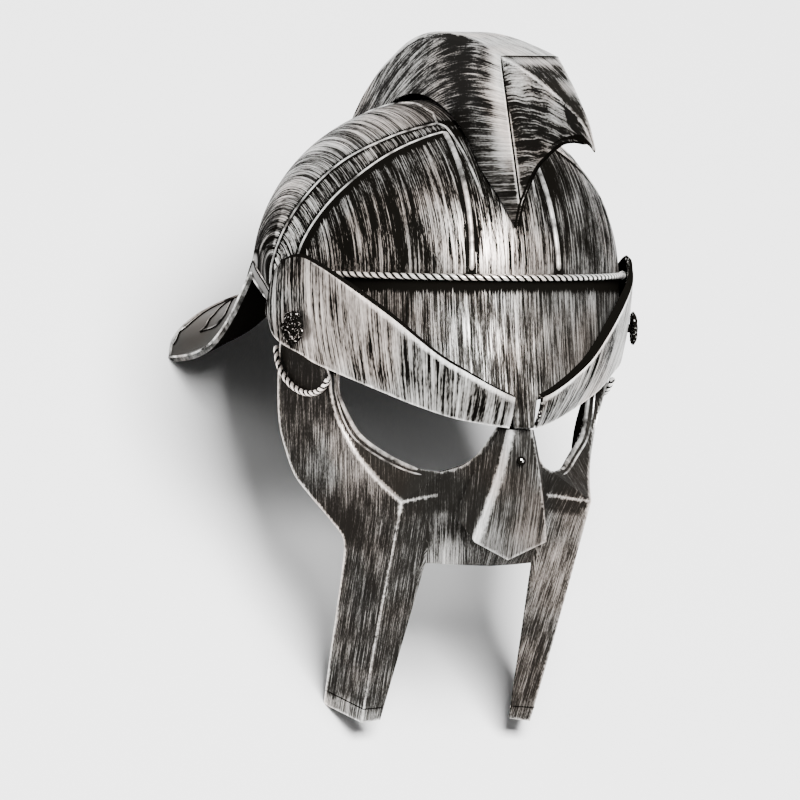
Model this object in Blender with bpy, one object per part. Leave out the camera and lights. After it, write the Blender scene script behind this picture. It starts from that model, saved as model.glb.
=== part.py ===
"""Gladiator helmet: a thin moulded shell with crest, visor bands, face mask, nose guard, rope trims and rivets.

Shape functions work in the shell frame, in millimetres: side (towards the wearer's left), forward and up, with the
origin on the line through the two temple rivets and the rope trim level. In the scene +X is side, -Y is forward and
+Z is up, and the whole helmet hangs from one empty that leans it back until it stands on its cheek tips and on the
two corners of its neck guard, as it does on a table.
"""

import math

import bmesh
import bpy
from mathutils import Vector

MM = 0.001
WALL = 2.2
GAP = 0.4
SHARP_ANGLE = 30.0

# Skull: an ellipsoid down to the rope trim, then a plate in front and a flared guard behind.
SKULL_HALF_WIDTH = 83.0
SKULL_HALF_LENGTH = 99.6
SKULL_RISE = 82.4
SKULL_FORWARD = -34.0
SKULL_UP = 24.7
DOME_ROWS = 9
SKIRT_ROWS = 5
DOME_LOWEST = math.radians(9.0)
SKULL_EDGE_COLUMNS = ("azimuth", "side", "forward", "up")
SKULL_EDGE = (
    (0.0, 0.0, 73.6, -46.3),
    (3.2, 4.6, 73.4, -46.3),
    (5.0, 6.8, 71.6, -33.5),
    (12.0, 17.5, 69.0, -31.0),
    (21.0, 30.0, 63.6, -22.5),
    (30.5, 42.0, 54.6, -14.0),
    (43.5, 56.4, 39.4, -8.0),
    (57.0, 69.2, 20.4, -7.0),
    (67.0, 76.6, 4.0, -9.0),
    (76.0, 80.6, -11.0, -7.0),
    (85.0, 82.2, -26.0, 3.0),
    (93.0, 82.2, -42.0, 14.0),
    (102.0, 80.6, -59.0, 21.5),
    (111.0, 77.6, -72.0, 25.5),
    (119.0, 76.8, -86.0, 16.5),
    (126.0, 77.2, -97.0, 7.0),
    (133.0, 77.8, -109.5, -1.5),
    (140.0, 78.2, -124.0, -8.0),
    (147.0, 78.6, -145.0, -12.2),
    (153.0, 79.0, -172.0, -13.6),
    (158.0, 74.0, -178.0, -3.5),
    (163.0, 61.5, -181.4, 6.5),
    (169.0, 41.0, -185.3, 15.2),
    (174.5, 20.5, -187.4, 19.8),
    (180.0, 0.0, -188.0, 21.2),
)

# Raised lines of the skull, as azimuth and elevation on the ellipsoid, in degrees.
RIDGE_RADIUS = 1.3
FRONT_RIDGE_HALF = (19.2, 21.4)
FRONT_RIDGE_ELEVATION = (2.5, 50.0)
SIDE_RIDGE_REAR = ((26.0, 56.6), (39.4, 54.3), (50.7, 49.6), (66.9, 39.6), (79.3, 23.9), (88.5, 5.0), (90.0, -3.0))
SIDE_RIDGE_FRONT = ((24.5, 52.4), (30.4, 50.6), (41.7, 45.3), (52.4, 37.5), (64.5, 24.7), (73.0, 11.0), (76.0, 1.0))

# Rope trims.
ROPE_RADIUS = 1.4
ROPE_SAG = 2.0
ROPE_KNOB_RADIUS = 1.9
ROPE_END_AZIMUTH = 59.5
ROPE_STEPS = 30
ROPE_SIDES = 6

# Crest: cross sections from its beak to its rear end.
CREST_COLUMNS = ("top_forward", "top_up", "top_half", "chamfer", "base_forward", "base_up", "base_half")
CREST = (
    (154.4, 80.5, 0.5, 0.1, 154.2, 78.9, 0.3),
    (150.0, 86.5, 0.9, 0.1, 149.5, 81.6, 0.4),
    (144.0, 92.6, 1.8, 0.1, 143.5, 83.0, 0.4),
    (132.5, 100.0, 3.6, 0.1, 132.0, 84.1, 0.4),
    (118.0, 108.0, 6.2, 0.1, 117.0, 83.4, 0.5),
    (103.0, 115.0, 9.0, 0.1, 100.9, 78.6, 0.5),
    (90.0, 120.3, 11.8, 0.1, 86.3, 72.1, 0.5),
    (79.0, 124.2, 14.3, 0.2, 70.0, 57.6, 0.7),
    (76.0, 125.0, 14.3, 0.4, 63.6, 45.8, 0.8),
    (67.0, 127.2, 14.1, 0.8, 56.9, 59.0, 6.6),
    (55.0, 129.8, 13.9, 1.2, 47.2, 73.2, 11.2),
    (39.0, 133.0, 13.6, 1.8, 32.0, 88.0, 11.9),
    (20.0, 136.0, 13.2, 2.6, 13.0, 99.4, 12.1),
    (-2.0, 137.9, 12.7, 3.4, -8.0, 106.6, 12.2),
    (-24.0, 137.4, 12.1, 4.2, -27.0, 109.6, 12.2),
    (-46.0, 134.2, 11.4, 4.8, -46.0, 108.8, 12.0),
    (-66.0, 128.4, 10.6, 5.0, -64.0, 104.6, 11.6),
    (-86.0, 121.4, 9.6, 4.8, -82.0, 97.4, 10.8),
    (-105.0, 111.6, 8.4, 4.4, -99.0, 86.8, 9.8),
    (-124.0, 97.6, 7.0, 3.6, -114.0, 72.8, 8.4),
    (-139.0, 80.0, 5.2, 2.6, -125.4, 58.6, 6.4),
    (-146.0, 62.0, 3.0, 1.2, -131.0, 49.4, 3.6),
)
CREST_WALL = 2.0
CREST_SEAT = 1.5
CREST_POST_SIDE = 10.0
CREST_POST_FRONT = (-22.0, 134.8)
CREST_POST_REAR = (-38.0, 132.6)

# Brow bands: stations from the nose to the temple.
BROW_COLUMNS = ("top_side", "top_forward", "top_up", "low_side", "low_forward", "low_up", "flange")
BROW = (
    (7.0, 78.6, -32.5, 6.8, 71.0, -46.5, 4.4),
    (14.9, 77.2, -28.8, 16.5, 61.5, -44.6, 5.2),
    (26.5, 72.6, -21.9, 27.5, 51.0, -41.6, 5.2),
    (39.7, 64.2, -12.6, 41.7, 40.6, -35.8, 5.0),
    (57.0, 50.2, 4.6, 56.0, 30.4, -28.8, 4.6),
    (71.7, 32.4, 19.4, 69.4, 15.4, -21.2, 3.0),
    (79.4, 15.2, 28.7, 77.0, 6.6, -16.6, 1.6),
    (83.6, 2.8, 32.6, 81.0, -1.0, -12.4, 1.6),
    (86.8, -12.0, 30.2, 86.0, -11.5, -7.6, 1.8),
    (88.0, -20.6, 23.0, 87.7, -18.8, -3.4, 2.0),
    (88.3, -23.6, 14.0, 88.3, -23.2, 2.5, 1.8),
)
BROW_BULGE = 1.6
BROW_WALL = 1.8
BROW_FACE_ROWS = (0.0, 0.3, 0.62, 1.0)

# Face mask: ribs across the cheek, from its back edge over the ridge to the eye or mouth.
CHEEK_COLUMNS = ("back_side", "back_forward", "back_up", "ridge_side", "ridge_forward", "ridge_up",
                 "inner_side", "inner_forward", "inner_up")
EYE_RIBS = (
    (79.3, -25.0, 8.0, 75.6, -3.0, 8.0, 72.6, 6.0, 8.0),
    (79.5, -31.0, -8.0, 74.6, 0.5, -7.0, 70.6, 11.0, -7.0),
    (79.5, -33.0, -19.5, 71.0, 8.2, -20.0, 64.6, 4.0, -19.0),
    (78.5, -36.0, -31.6, 68.5, 6.6, -31.6, 62.8, 0.4, -30.0),
    (76.2, -39.6, -44.7, 65.0, 6.6, -43.6, 58.6, 5.6, -42.4),
    (73.8, -38.6, -55.8, 61.2, 10.6, -53.8, 54.6, 10.6, -50.4),
    (71.0, -33.6, -68.4, 56.8, 17.6, -63.4, 46.3, 18.6, -58.2),
    (67.2, -23.6, -78.1, 52.2, 28.0, -72.6, 37.0, 30.4, -64.6),
    (64.0, -14.5, -85.6, 47.6, 40.3, -80.5, 28.0, 40.7, -66.8),
)
CHEEK_RIBS = (
    (64.0, -14.5, -85.6, 47.6, 40.3, -80.5, 27.9, 34.6, -77.4),
    (58.8, -5.2, -96.3, 47.0, 31.4, -95.5, 27.4, 26.0, -94.5),
    (57.2, -6.4, -103.5, 46.5, 23.6, -108.7, 26.9, 18.8, -109.0),
    (56.2, -12.6, -116.0, 46.0, 16.2, -121.1, 27.8, 12.2, -121.0),
    (54.4, -24.2, -135.0, 45.0, 2.6, -144.1, 29.7, -0.4, -144.0),
    (52.8, -35.8, -156.0, 43.9, -9.6, -164.6, 31.3, -11.9, -164.5),
    (51.2, -46.3, -175.3, 42.7, -20.8, -183.6, 32.8, -21.6, -182.5),
)
NOSE_COLUMNS = ("mid_side", "mid_forward", "mid_up", "centre_forward", "centre_up")
NOSE_SIDES = (
    (8.0, 62.4, -39.5),
    (8.4, 60.6, -45.0),
    (11.2, 56.8, -51.5),
    (15.4, 52.9, -58.6),
    (20.4, 47.8, -63.8),
    (28.0, 40.7, -66.8),
    (27.9, 34.6, -77.4),
    (27.4, 26.0, -94.5),
    (26.9, 18.8, -109.0),
)
NOSE = (
    (4.2, 65.0, -39.5, 65.9, -39.5),
    (4.6, 62.8, -45.5, 63.8, -45.5),
    (6.6, 59.8, -52.0, 61.4, -52.5),
    (9.0, 56.8, -59.0, 59.6, -60.0),
    (12.0, 53.0, -65.5, 57.2, -66.5),
    (16.0, 48.6, -70.5, 55.0, -72.0),
    (19.0, 43.6, -79.0, 50.8, -80.5),
    (19.0, 36.6, -94.5, 42.6, -95.5),
    (14.0, 27.0, -109.8, 31.5, -110.4),
)

# Nose guard: front facet edge and the rear edge of its side facet.
NASAL_COLUMNS = ("front_side", "front_forward", "front_up", "back_side", "back_forward", "back_up")
NASAL = (
    (5.4, 69.2, -47.2, 8.6, 63.6, -47.2),
    (7.2, 68.8, -55.3, 11.8, 60.2, -55.0),
    (10.0, 67.2, -67.0, 16.2, 54.4, -65.0),
    (12.6, 64.6, -77.6, 19.2, 50.0, -73.8),
    (15.6, 60.8, -89.3, 21.4, 46.6, -81.6),
    (17.9, 56.5, -99.0, 22.6, 44.3, -86.4),
)
NASAL_TIP = (0.0, 53.5, -107.4)
NASAL_RIVET = (68.9, -61.6)
NASAL_RIVET_RADIUS = 2.1

# Temple rivets and the rope arcs below the brow bands.
RIVET_HEAD_RADIUS = 8.0
RIVET_HEAD_HEIGHT = 4.4
RIVET_TAIL_RADIUS = 4.0
RIVET_SHANK_RADIUS = 2.0
RIVET_HOLE_RADIUS = 2.4
ROSETTE_LOBES = 8
TEMPLE_ROPE_CENTRE = (-8.0, -9.5)
TEMPLE_ROPE_RADII = (23.0, 20.6)
TEMPLE_ROPE_ANGLES = (176.0, 318.0)

# How the helmet stands: leaned back, with narrow flats on its cheek tips and on its neck guard's corners.
STAND_LEAN = 51.8
STAND_LIFT = 144.2
STAND_SHIFT = -11.0
FLOOR_SIZE = (400.0, 500.0, 60.0)

MATERIALS = {
    "silvered": ((0.42, 0.41, 0.40), 0.38, 0.75),
    "satin": ((0.36, 0.36, 0.36), 0.45, 0.6),
    "dark": ((0.05, 0.048, 0.045), 0.4, 0.3),
}


def named(rows, columns):
    return [dict(zip(columns, row)) for row in rows]


def smooth_step(value):
    value = min(max(value, 0.0), 1.0)
    return value * value * (3.0 - 2.0 * value)


def mix(first, second, share):
    return first + (second - first) * share


def spline(points, position):
    """Catmull-Rom value at a position counted in points; the points are vectors."""
    index = min(max(int(math.floor(position)), 0), len(points) - 2)
    share = position - index
    p1, p2 = points[index], points[index + 1]
    p0 = points[index - 1] if index > 0 else p1 * 2 - p2
    p3 = points[index + 2] if index + 2 < len(points) else p2 * 2 - p1
    return 0.5 * (2 * p1 + (p2 - p0) * share + (2 * p0 - 5 * p1 + 4 * p2 - p3) * share ** 2
                  + (3 * p1 - p0 - 3 * p2 + p3) * share ** 3)


def ellipsoid(azimuth, elevation, offset=0.0):
    """Point of the dome, with azimuth from the front and elevation from the rope trim, in radians."""
    flat = math.cos(elevation)
    return Vector((
        (SKULL_HALF_WIDTH + offset) * math.sin(azimuth) * flat,
        SKULL_FORWARD + (SKULL_HALF_LENGTH + offset) * math.cos(azimuth) * flat,
        SKULL_UP + (SKULL_RISE + offset) * math.sin(elevation),
    ))


def skirt_start(azimuth):
    return DOME_LOWEST * smooth_step((math.degrees(azimuth) - 45.0) / 35.0)


def skull_column(azimuth, edge):
    """Points of one meridian, from the crown's rim of the pole down to the lower edge."""
    low = skirt_start(azimuth)
    points = []
    for row in range(1, DOME_ROWS + 1):
        share = row / DOME_ROWS
        points.append(ellipsoid(azimuth, mix(math.pi / 2, low, share ** 0.92)))
    start = points[-1]
    down = Vector((
        SKULL_HALF_WIDTH * math.sin(azimuth) * math.sin(low),
        SKULL_HALF_LENGTH * math.cos(azimuth) * math.sin(low),
        -SKULL_RISE * math.cos(low),
    )).normalized()
    span = edge - start
    flare = smooth_step((math.degrees(azimuth) - 104.0) / 26.0)
    outward = Vector((span.x, span.y, span.z * mix(1.0, 0.35, flare))).normalized()
    bend = start + down * span.length * mix(0.33, 0.42, flare)
    arrive = edge - outward * span.length * mix(0.33, 0.45, flare)
    for row in range(1, SKIRT_ROWS + 1):
        share = row / SKIRT_ROWS
        points.append((1 - share) ** 3 * start + 3 * (1 - share) ** 2 * share * bend
                      + 3 * (1 - share) * share ** 2 * arrive + share ** 3 * edge)
    return points


def scene_point(point):
    return Vector((point[0], -point[1], point[2])) * MM


def flipped(point):
    return Vector((-point[0], point[1], point[2]))


def add_material(obj, slot):
    colour, roughness, metallic = MATERIALS[slot]
    material = bpy.data.materials.new(obj.name)
    material.use_nodes = True
    shader = material.node_tree.nodes["Principled BSDF"]
    shader.inputs["Base Color"].default_value = (*colour, 1.0)
    shader.inputs["Roughness"].default_value = roughness
    shader.inputs["Metallic"].default_value = metallic
    obj.data.materials.append(material)


def make_object(name, points, faces, slot, parent, merge=0.00001):
    """One mesh object from shell-frame points, with doubles merged and faces turned outward."""
    mesh = bpy.data.meshes.new(name)
    work = bmesh.new()
    corners = [work.verts.new(scene_point(point)) for point in points]
    for face in faces:
        work.faces.new([corners[index] for index in face])
    bmesh.ops.remove_doubles(work, verts=work.verts, dist=merge)
    bmesh.ops.dissolve_degenerate(work, edges=work.edges, dist=merge)
    bmesh.ops.recalc_face_normals(work, faces=work.faces)
    work.to_mesh(mesh)
    work.free()
    mesh.shade_smooth()
    mesh.set_sharp_from_angle(angle=math.radians(SHARP_ANGLE))
    obj = bpy.data.objects.new(name, mesh)
    bpy.context.scene.collection.objects.link(obj)
    obj.parent = parent
    add_material(obj, slot)
    return obj


def face_outward(obj, inside):
    """Turns an open sheet so that its faces point away from a shell-frame point."""
    centre = scene_point(inside)
    work = bmesh.new()
    work.from_mesh(obj.data)
    facing = sum((face.calc_center_median() - centre).dot(face.normal) * face.calc_area() for face in work.faces)
    if facing < 0:
        bmesh.ops.reverse_faces(work, faces=work.faces)
    work.to_mesh(obj.data)
    work.free()


def solidify(obj, wall):
    modifier = obj.modifiers.new("wall", "SOLIDIFY")
    modifier.thickness = wall * MM
    modifier.offset = -1.0
    modifier.use_even_offset = True
    modifier.use_quality_normals = True


def boolean(obj, other, operation):
    modifier = obj.modifiers.new(other.name, "BOOLEAN")
    modifier.operation = operation
    modifier.object = other
    modifier.solver = "EXACT"


def make_helper(obj):
    obj.hide_render = True
    obj.display_type = "WIRE"


def grid_faces(columns, rows, start=0, closed=False):
    faces = []
    for column in range(columns if closed else columns - 1):
        following = (column + 1) % columns
        for row in range(rows - 1):
            faces.append((start + column * rows + row, start + column * rows + row + 1,
                          start + following * rows + row + 1, start + following * rows + row))
    return faces


def tube_points(path, radii, sides, up_hint):
    """Rings of a closed tube along a path; its ends are single points."""
    points, faces = [], []
    for index, centre in enumerate(path):
        ahead = (path[min(index + 1, len(path) - 1)] - path[max(index - 1, 0)]).normalized()
        across = up_hint[index].cross(ahead).normalized()
        other = ahead.cross(across)
        for side in range(sides):
            angle = 2 * math.pi * side / sides
            points.append(centre + (across * math.cos(angle) + other * math.sin(angle)) * radii[index])
    rings = len(path)
    for ring in range(rings - 1):
        for side in range(sides):
            following = (side + 1) % sides
            faces.append((ring * sides + side, ring * sides + following,
                          (ring + 1) * sides + following, (ring + 1) * sides + side))
    faces.append(tuple(range(sides)))
    faces.append(tuple((rings - 1) * sides + side for side in range(sides)))
    return points, faces


def build_skull(parent):
    edges = named(SKULL_EDGE, SKULL_EDGE_COLUMNS)
    columns = []
    for edge in edges:
        columns.append(skull_column(math.radians(edge["azimuth"]), Vector((edge["side"], edge["forward"], edge["up"]))))
    columns += [[flipped(point) for point in column] for column in columns[-2:0:-1]]
    rows = DOME_ROWS + SKIRT_ROWS
    points = [point for column in columns for point in column]
    faces = grid_faces(len(columns), rows, closed=True)
    crown = len(points)
    points.append(ellipsoid(0.0, math.pi / 2))
    for column in range(len(columns)):
        faces.append((crown, column * rows, ((column + 1) % len(columns)) * rows))
    skull = make_object("skull", points, faces, "silvered", parent)
    face_outward(skull, (0.0, SKULL_FORWARD, SKULL_UP))
    solidify(skull, WALL)
    for side in (-1, 1):
        tag = "left" if side > 0 else "right"
        lines = {
            "front_ridge_" + tag: [front_ridge_point(step / 10, side) for step in range(11)],
            "side_ridge_rear_" + tag: ridge_line(SIDE_RIDGE_REAR, side, 3),
            "side_ridge_front_" + tag: ridge_line(SIDE_RIDGE_FRONT, side, 3),
        }
        for name, path in lines.items():
            boolean(skull, build_ridge(name, path, parent), "UNION")
    return skull


def front_ridge_point(share, side):
    """The ridges beside the midline keep almost one distance from it."""
    elevation = math.radians(mix(*FRONT_RIDGE_ELEVATION, share))
    half = mix(FRONT_RIDGE_HALF[1], FRONT_RIDGE_HALF[0], share)
    azimuth = math.asin(half / (SKULL_HALF_WIDTH * math.cos(elevation)))
    return ellipsoid(side * azimuth, elevation)


def ridge_line(stations, side, steps):
    knots = [Vector((math.radians(azimuth), math.radians(elevation), 0.0)) for azimuth, elevation in stations]
    count = (len(knots) - 1) * steps
    path = []
    for step in range(count + 1):
        place = spline(knots, step / steps)
        path.append(ellipsoid(side * place.x, place.y))
    return path


def build_ridge(name, path, parent):
    centre = Vector((0.0, SKULL_FORWARD, SKULL_UP))
    hints = [(point - centre).normalized() for point in path]
    radii = [RIDGE_RADIUS] * len(path)
    points, faces = tube_points(path, radii, 4, hints)
    ridge = make_object(name, points, faces, "silvered", parent)
    make_helper(ridge)
    return ridge


def build_rope_band(parent):
    path, hints, radii = [], [], []
    for step in range(ROPE_STEPS + 1):
        azimuth = math.radians(mix(-ROPE_END_AZIMUTH, ROPE_END_AZIMUTH, step / ROPE_STEPS))
        sag = ROPE_SAG * math.cos(azimuth / math.radians(ROPE_END_AZIMUTH) * math.pi / 2)
        path.append(ellipsoid(azimuth, -sag / SKULL_RISE, ROPE_RADIUS + GAP))
        hints.append(Vector((math.sin(azimuth), math.cos(azimuth), 0.0)))
        radii.append(ROPE_KNOB_RADIUS if step in (0, ROPE_STEPS) else ROPE_RADIUS)
    points, faces = tube_points(path, radii, ROPE_SIDES, hints)
    return make_object("rope_band", points, faces, "silvered", parent)


def crest_seat(half, forward):
    """Height of the dome, plus the gap below the crest, at a side and a forward."""
    across = half / (SKULL_HALF_WIDTH + CREST_SEAT)
    along = (forward - SKULL_FORWARD) / (SKULL_HALF_LENGTH + CREST_SEAT)
    return SKULL_UP + (SKULL_RISE + CREST_SEAT) * math.sqrt(max(1.0 - across ** 2 - along ** 2, 0.0))


def crest_ring(section, inset=0.0):
    """Six corners of a crest cross section, clockwise from its top left; inset shrinks it by a wall."""
    top = Vector((0.0, section["top_forward"], section["top_up"]))
    base = Vector((0.0, section["base_forward"], section["base_up"]))
    fall = (base - top).normalized()
    chamfer = section["chamfer"]
    half_top = section["top_half"] - inset
    half_base = section["base_half"] - inset
    shoulder = mix(half_top, half_base, chamfer / (base - top).length) + chamfer * 0.15
    cut = half_top - chamfer * 0.55
    roof = top + fall * inset
    eave = top + fall * (inset + chamfer)
    return [
        roof + Vector((-cut, 0, 0)), roof + Vector((cut, 0, 0)),
        eave + Vector((shoulder, 0, 0)), base + Vector((half_base, 0, 0)),
        base + Vector((-half_base, 0, 0)), eave + Vector((-shoulder, 0, 0)),
    ]


def lofted(rings):
    size = len(rings[0])
    points = [point for ring in rings for point in ring]
    faces = [tuple(range(size)), tuple((len(rings) - 1) * size + corner for corner in range(size))]
    for ring in range(len(rings) - 1):
        for corner in range(size):
            following = (corner + 1) % size
            faces.append((ring * size + corner, ring * size + following,
                          (ring + 1) * size + following, (ring + 1) * size + corner))
    return points, faces


def build_crest(parent):
    sections = named(CREST, CREST_COLUMNS)
    for section in sections:
        section["base_up"] = max(section["base_up"], crest_seat(section["base_half"], section["base_forward"]))
    points, faces = lofted([crest_ring(section) for section in sections])
    crest = make_object("crest", points, faces, "silvered", parent)
    cavity_rings = []
    for section in sections[6:-1]:
        hollow = dict(section)
        top = Vector((section["top_forward"], section["top_up"]))
        base = Vector((section["base_forward"], section["base_up"]))
        fall = (base - top).normalized()
        closed_below = section["base_half"] < 2 * CREST_WALL
        if closed_below:
            reach = 1.0 - (CREST_WALL + 1.2) / (section["top_half"] + 0.01)
            low = top + (base - top) * reach * 0.9
            hollow["base_half"] = mix(section["top_half"], section["base_half"], reach * 0.9)
        else:
            low = base + fall * 4.0
        hollow["base_forward"], hollow["base_up"] = low
        hollow["base_half"] = max(hollow["base_half"], CREST_WALL + 0.5)
        cavity_rings.append(crest_ring(hollow, CREST_WALL))
    points, faces = lofted(cavity_rings)
    cavity = make_object("crest_cavity", points, faces, "dark", parent)
    make_helper(cavity)
    boolean(crest, cavity, "DIFFERENCE")
    return crest


def build_crest_post(parent):
    half, foot = CREST_POST_SIDE / 2, SKULL_UP + SKULL_RISE + GAP
    rings = []
    for forward, top in (CREST_POST_FRONT, CREST_POST_REAR):
        rings.append([Vector((-half, forward, foot)), Vector((half, forward, foot)),
                      Vector((half, forward, top)), Vector((-half, forward, top))])
    points, faces = lofted(rings)
    return make_object("crest_post", points, faces, "dark", parent)


def build_brow_band(side, parent):
    stations = named(BROW, BROW_COLUMNS)
    columns = []
    for station in stations:
        top = Vector((station["top_side"], station["top_forward"], station["top_up"]))
        low = Vector((station["low_side"], station["low_forward"], station["low_up"]))
        out = Vector((top.x, top.y - SKULL_FORWARD, 0.0)).normalized()
        flange = top - out * station["flange"] + Vector((0, 0, 1.6))
        column = [flange]
        for share in BROW_FACE_ROWS:
            column.append(mix(top, low, share) + out * BROW_BULGE * math.sin(math.pi * share))
        columns.append(column)
    rows = len(columns[0])
    points = [point for column in columns for point in column]
    if side < 0:
        points = [flipped(point) for point in points]
    name = "brow_band_" + ("left" if side > 0 else "right")
    band = make_object(name, points, grid_faces(len(columns), rows), "silvered", parent)
    face_outward(band, (0.0, SKULL_FORWARD, 0.0))
    solidify(band, BROW_WALL)
    return band


def rib_points(rows, columns, names):
    ribs = []
    for row in named(rows, columns):
        ribs.append([Vector((row[name + "_side"], row[name + "_forward"], row[name + "_up"])) for name in names])
    return ribs


def build_face_mask(parent):
    names = ("back", "ridge", "inner")
    eye_ribs = rib_points(EYE_RIBS, CHEEK_COLUMNS, names)
    cheek_ribs = rib_points(CHEEK_RIBS, CHEEK_COLUMNS, names)
    points, faces = [], []

    def add_patch(ribs):
        start = len(points)
        points.extend(point for rib in ribs for point in rib)
        faces.extend(grid_faces(len(ribs), len(ribs[0]), start))

    def add_face(*corners):
        start = len(points)
        points.extend(corners)
        faces.append(tuple(range(start, start + len(corners))))

    for turn in (lambda point: point, flipped):
        add_patch([[turn(point) for point in rib] for rib in eye_ribs])
        add_patch([[turn(point) for point in rib] for rib in cheek_ribs])
        apex, eye_low, nose_side = eye_ribs[-1][1], eye_ribs[-1][2], cheek_ribs[0][2]
        add_face(turn(apex), turn(eye_low), turn(nose_side))
        nose = []
        for side, row in zip(NOSE_SIDES, named(NOSE, NOSE_COLUMNS)):
            nose.append([
                turn(Vector(side)),
                turn(Vector((row["mid_side"], row["mid_forward"], row["mid_up"]))),
                Vector((0.0, row["centre_forward"], row["centre_up"])),
            ])
        add_patch(nose)
    mask = make_object("face_mask", points, faces, "silvered", parent)
    face_outward(mask, (0.0, SKULL_FORWARD, -40.0))
    solidify(mask, WALL)
    return mask


def build_nasal(parent):
    rows = rib_points(NASAL, NASAL_COLUMNS, ("back", "front"))
    columns = []
    for back, front in rows:
        columns.append([back, front, flipped(front), flipped(back)])
    points = [point for column in columns for point in column]
    faces = grid_faces(len(columns), 4)
    tip = len(points)
    points.append(Vector(NASAL_TIP))
    last = (len(columns) - 1) * 4
    faces.append((last + 1, last + 2, tip))
    nasal = make_object("nasal", points, faces, "silvered", parent)
    face_outward(nasal, (0.0, 30.0, -75.0))
    solidify(nasal, WALL)
    return nasal


def turned(profile, sides, centre, axis, lobes=0, lobe_depth=0.0):
    """Closed solid turned about an axis: profile rows are (radius, height), and lobes scallop its outline."""
    axis = axis.normalized()
    across = axis.cross(Vector((0, 0, 1))).normalized()
    other = axis.cross(across)
    points, faces = [], []
    for radius, height in profile:
        for step in range(sides):
            angle = 2 * math.pi * step / sides
            scallop = 1.0 - lobe_depth * (0.5 + 0.5 * math.cos(lobes * angle)) if lobes else 1.0
            points.append(centre + axis * height
                          + (across * math.cos(angle) + other * math.sin(angle)) * radius * scallop)
    rings = len(profile)
    for ring in range(rings - 1):
        for step in range(sides):
            following = (step + 1) % sides
            faces.append((ring * sides + step, ring * sides + following,
                          (ring + 1) * sides + following, (ring + 1) * sides + step))
    faces.append(tuple(range(sides)))
    faces.append(tuple((rings - 1) * sides + step for step in range(sides)))
    return points, faces


def temple_frame(side):
    """Centre of the rivet head's seat on the brow band, and the direction that it faces."""
    outer = 5.5
    lean = math.asin((0.0 - SKULL_FORWARD) / (SKULL_HALF_LENGTH + outer))
    seat = Vector((side * (SKULL_HALF_WIDTH + outer) * math.cos(lean), 0.0, 0.0))
    axis = Vector((side * math.cos(lean) / (SKULL_HALF_WIDTH + outer),
                   math.sin(lean) / (SKULL_HALF_LENGTH + outer), 0.0))
    return seat, axis.normalized()


def build_temple_rivet(side, parent):
    seat, axis = temple_frame(side)
    sides = ROSETTE_LOBES * 3
    radius, height = RIVET_HEAD_RADIUS, RIVET_HEAD_HEIGHT
    profile = [
        (RIVET_TAIL_RADIUS, -13.2), (RIVET_TAIL_RADIUS, -12.0), (RIVET_SHANK_RADIUS, -12.0), (RIVET_SHANK_RADIUS, 1.5),
        (radius * 0.94, 1.5), (radius, 2.4), (radius * 0.86, height * 0.72),
        (radius * 0.5, height * 0.95), (radius * 0.1, height),
    ]
    points, faces = turned(profile, sides, seat, axis)
    name = "temple_rivet_" + ("left" if side > 0 else "right")
    return make_object(name, points, faces, "dark", parent)


def build_rivet_drills(parent):
    sides = 16
    drills = []
    for side in (-1, 1):
        seat, axis = temple_frame(side)
        points, faces = turned([(RIVET_HOLE_RADIUS, -16.0), (RIVET_HOLE_RADIUS, 8.0)], sides, seat, axis)
        drill = make_object("rivet_drill_" + ("left" if side > 0 else "right"), points, faces, "dark", parent)
        make_helper(drill)
        drills.append(drill)
    return drills


def build_nasal_rivet(parent):
    forward, up = NASAL_RIVET
    radius = NASAL_RIVET_RADIUS
    profile = [(radius, 0.0), (radius, 0.6), (radius * 0.7, 1.3), (radius * 0.15, 1.6)]
    points, faces = turned(profile, 12, Vector((0.0, forward, up)), Vector((0.0, 1.0, 0.16)))
    return make_object("nasal_rivet", points, faces, "dark", parent)


def build_temple_rope(side, parent):
    """Rope arc on the mask's temple, showing just under the brow band."""
    ribs = rib_points(EYE_RIBS, CHEEK_COLUMNS, ("back", "ridge", "inner"))
    centre_forward, centre_up = TEMPLE_ROPE_CENTRE
    steps = 12
    path, hints, radii = [], [], []
    for step in range(steps + 1):
        angle = math.radians(mix(*TEMPLE_ROPE_ANGLES, step / steps))
        forward = centre_forward + TEMPLE_ROPE_RADII[0] * math.cos(angle)
        up = centre_up + TEMPLE_ROPE_RADII[1] * math.sin(angle)
        point, normal = on_side_facet(ribs, forward, up)
        path.append(point + normal * (ROPE_RADIUS + GAP))
        hints.append(normal)
        radii.append(ROPE_RADIUS)
    if side < 0:
        path = [flipped(point) for point in path]
        hints = [flipped(hint) for hint in hints]
    points, faces = tube_points(path, radii, ROPE_SIDES, hints)
    name = "temple_rope_" + ("left" if side > 0 else "right")
    return make_object(name, points, faces, "silvered", parent)


def on_side_facet(ribs, forward, up):
    """Point and outward normal of the mask's side facet at a forward and an up."""
    for upper, lower in zip(ribs, ribs[1:]):
        share_low = (upper[0].z - up) / max(upper[0].z - lower[0].z, 1e-6)
        if share_low <= 1.0:
            break
    back = mix(upper[0], lower[0], share_low)
    ridge = mix(upper[1], lower[1], share_low)
    across = (forward - back.y) / (ridge.y - back.y)
    point = mix(back, ridge, across)
    down = mix(lower[0] - upper[0], lower[1] - upper[1], across)
    normal = (ridge - back).cross(down).normalized()
    if normal.x < 0:
        normal = -normal
    point.z = up
    return point, normal


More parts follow.
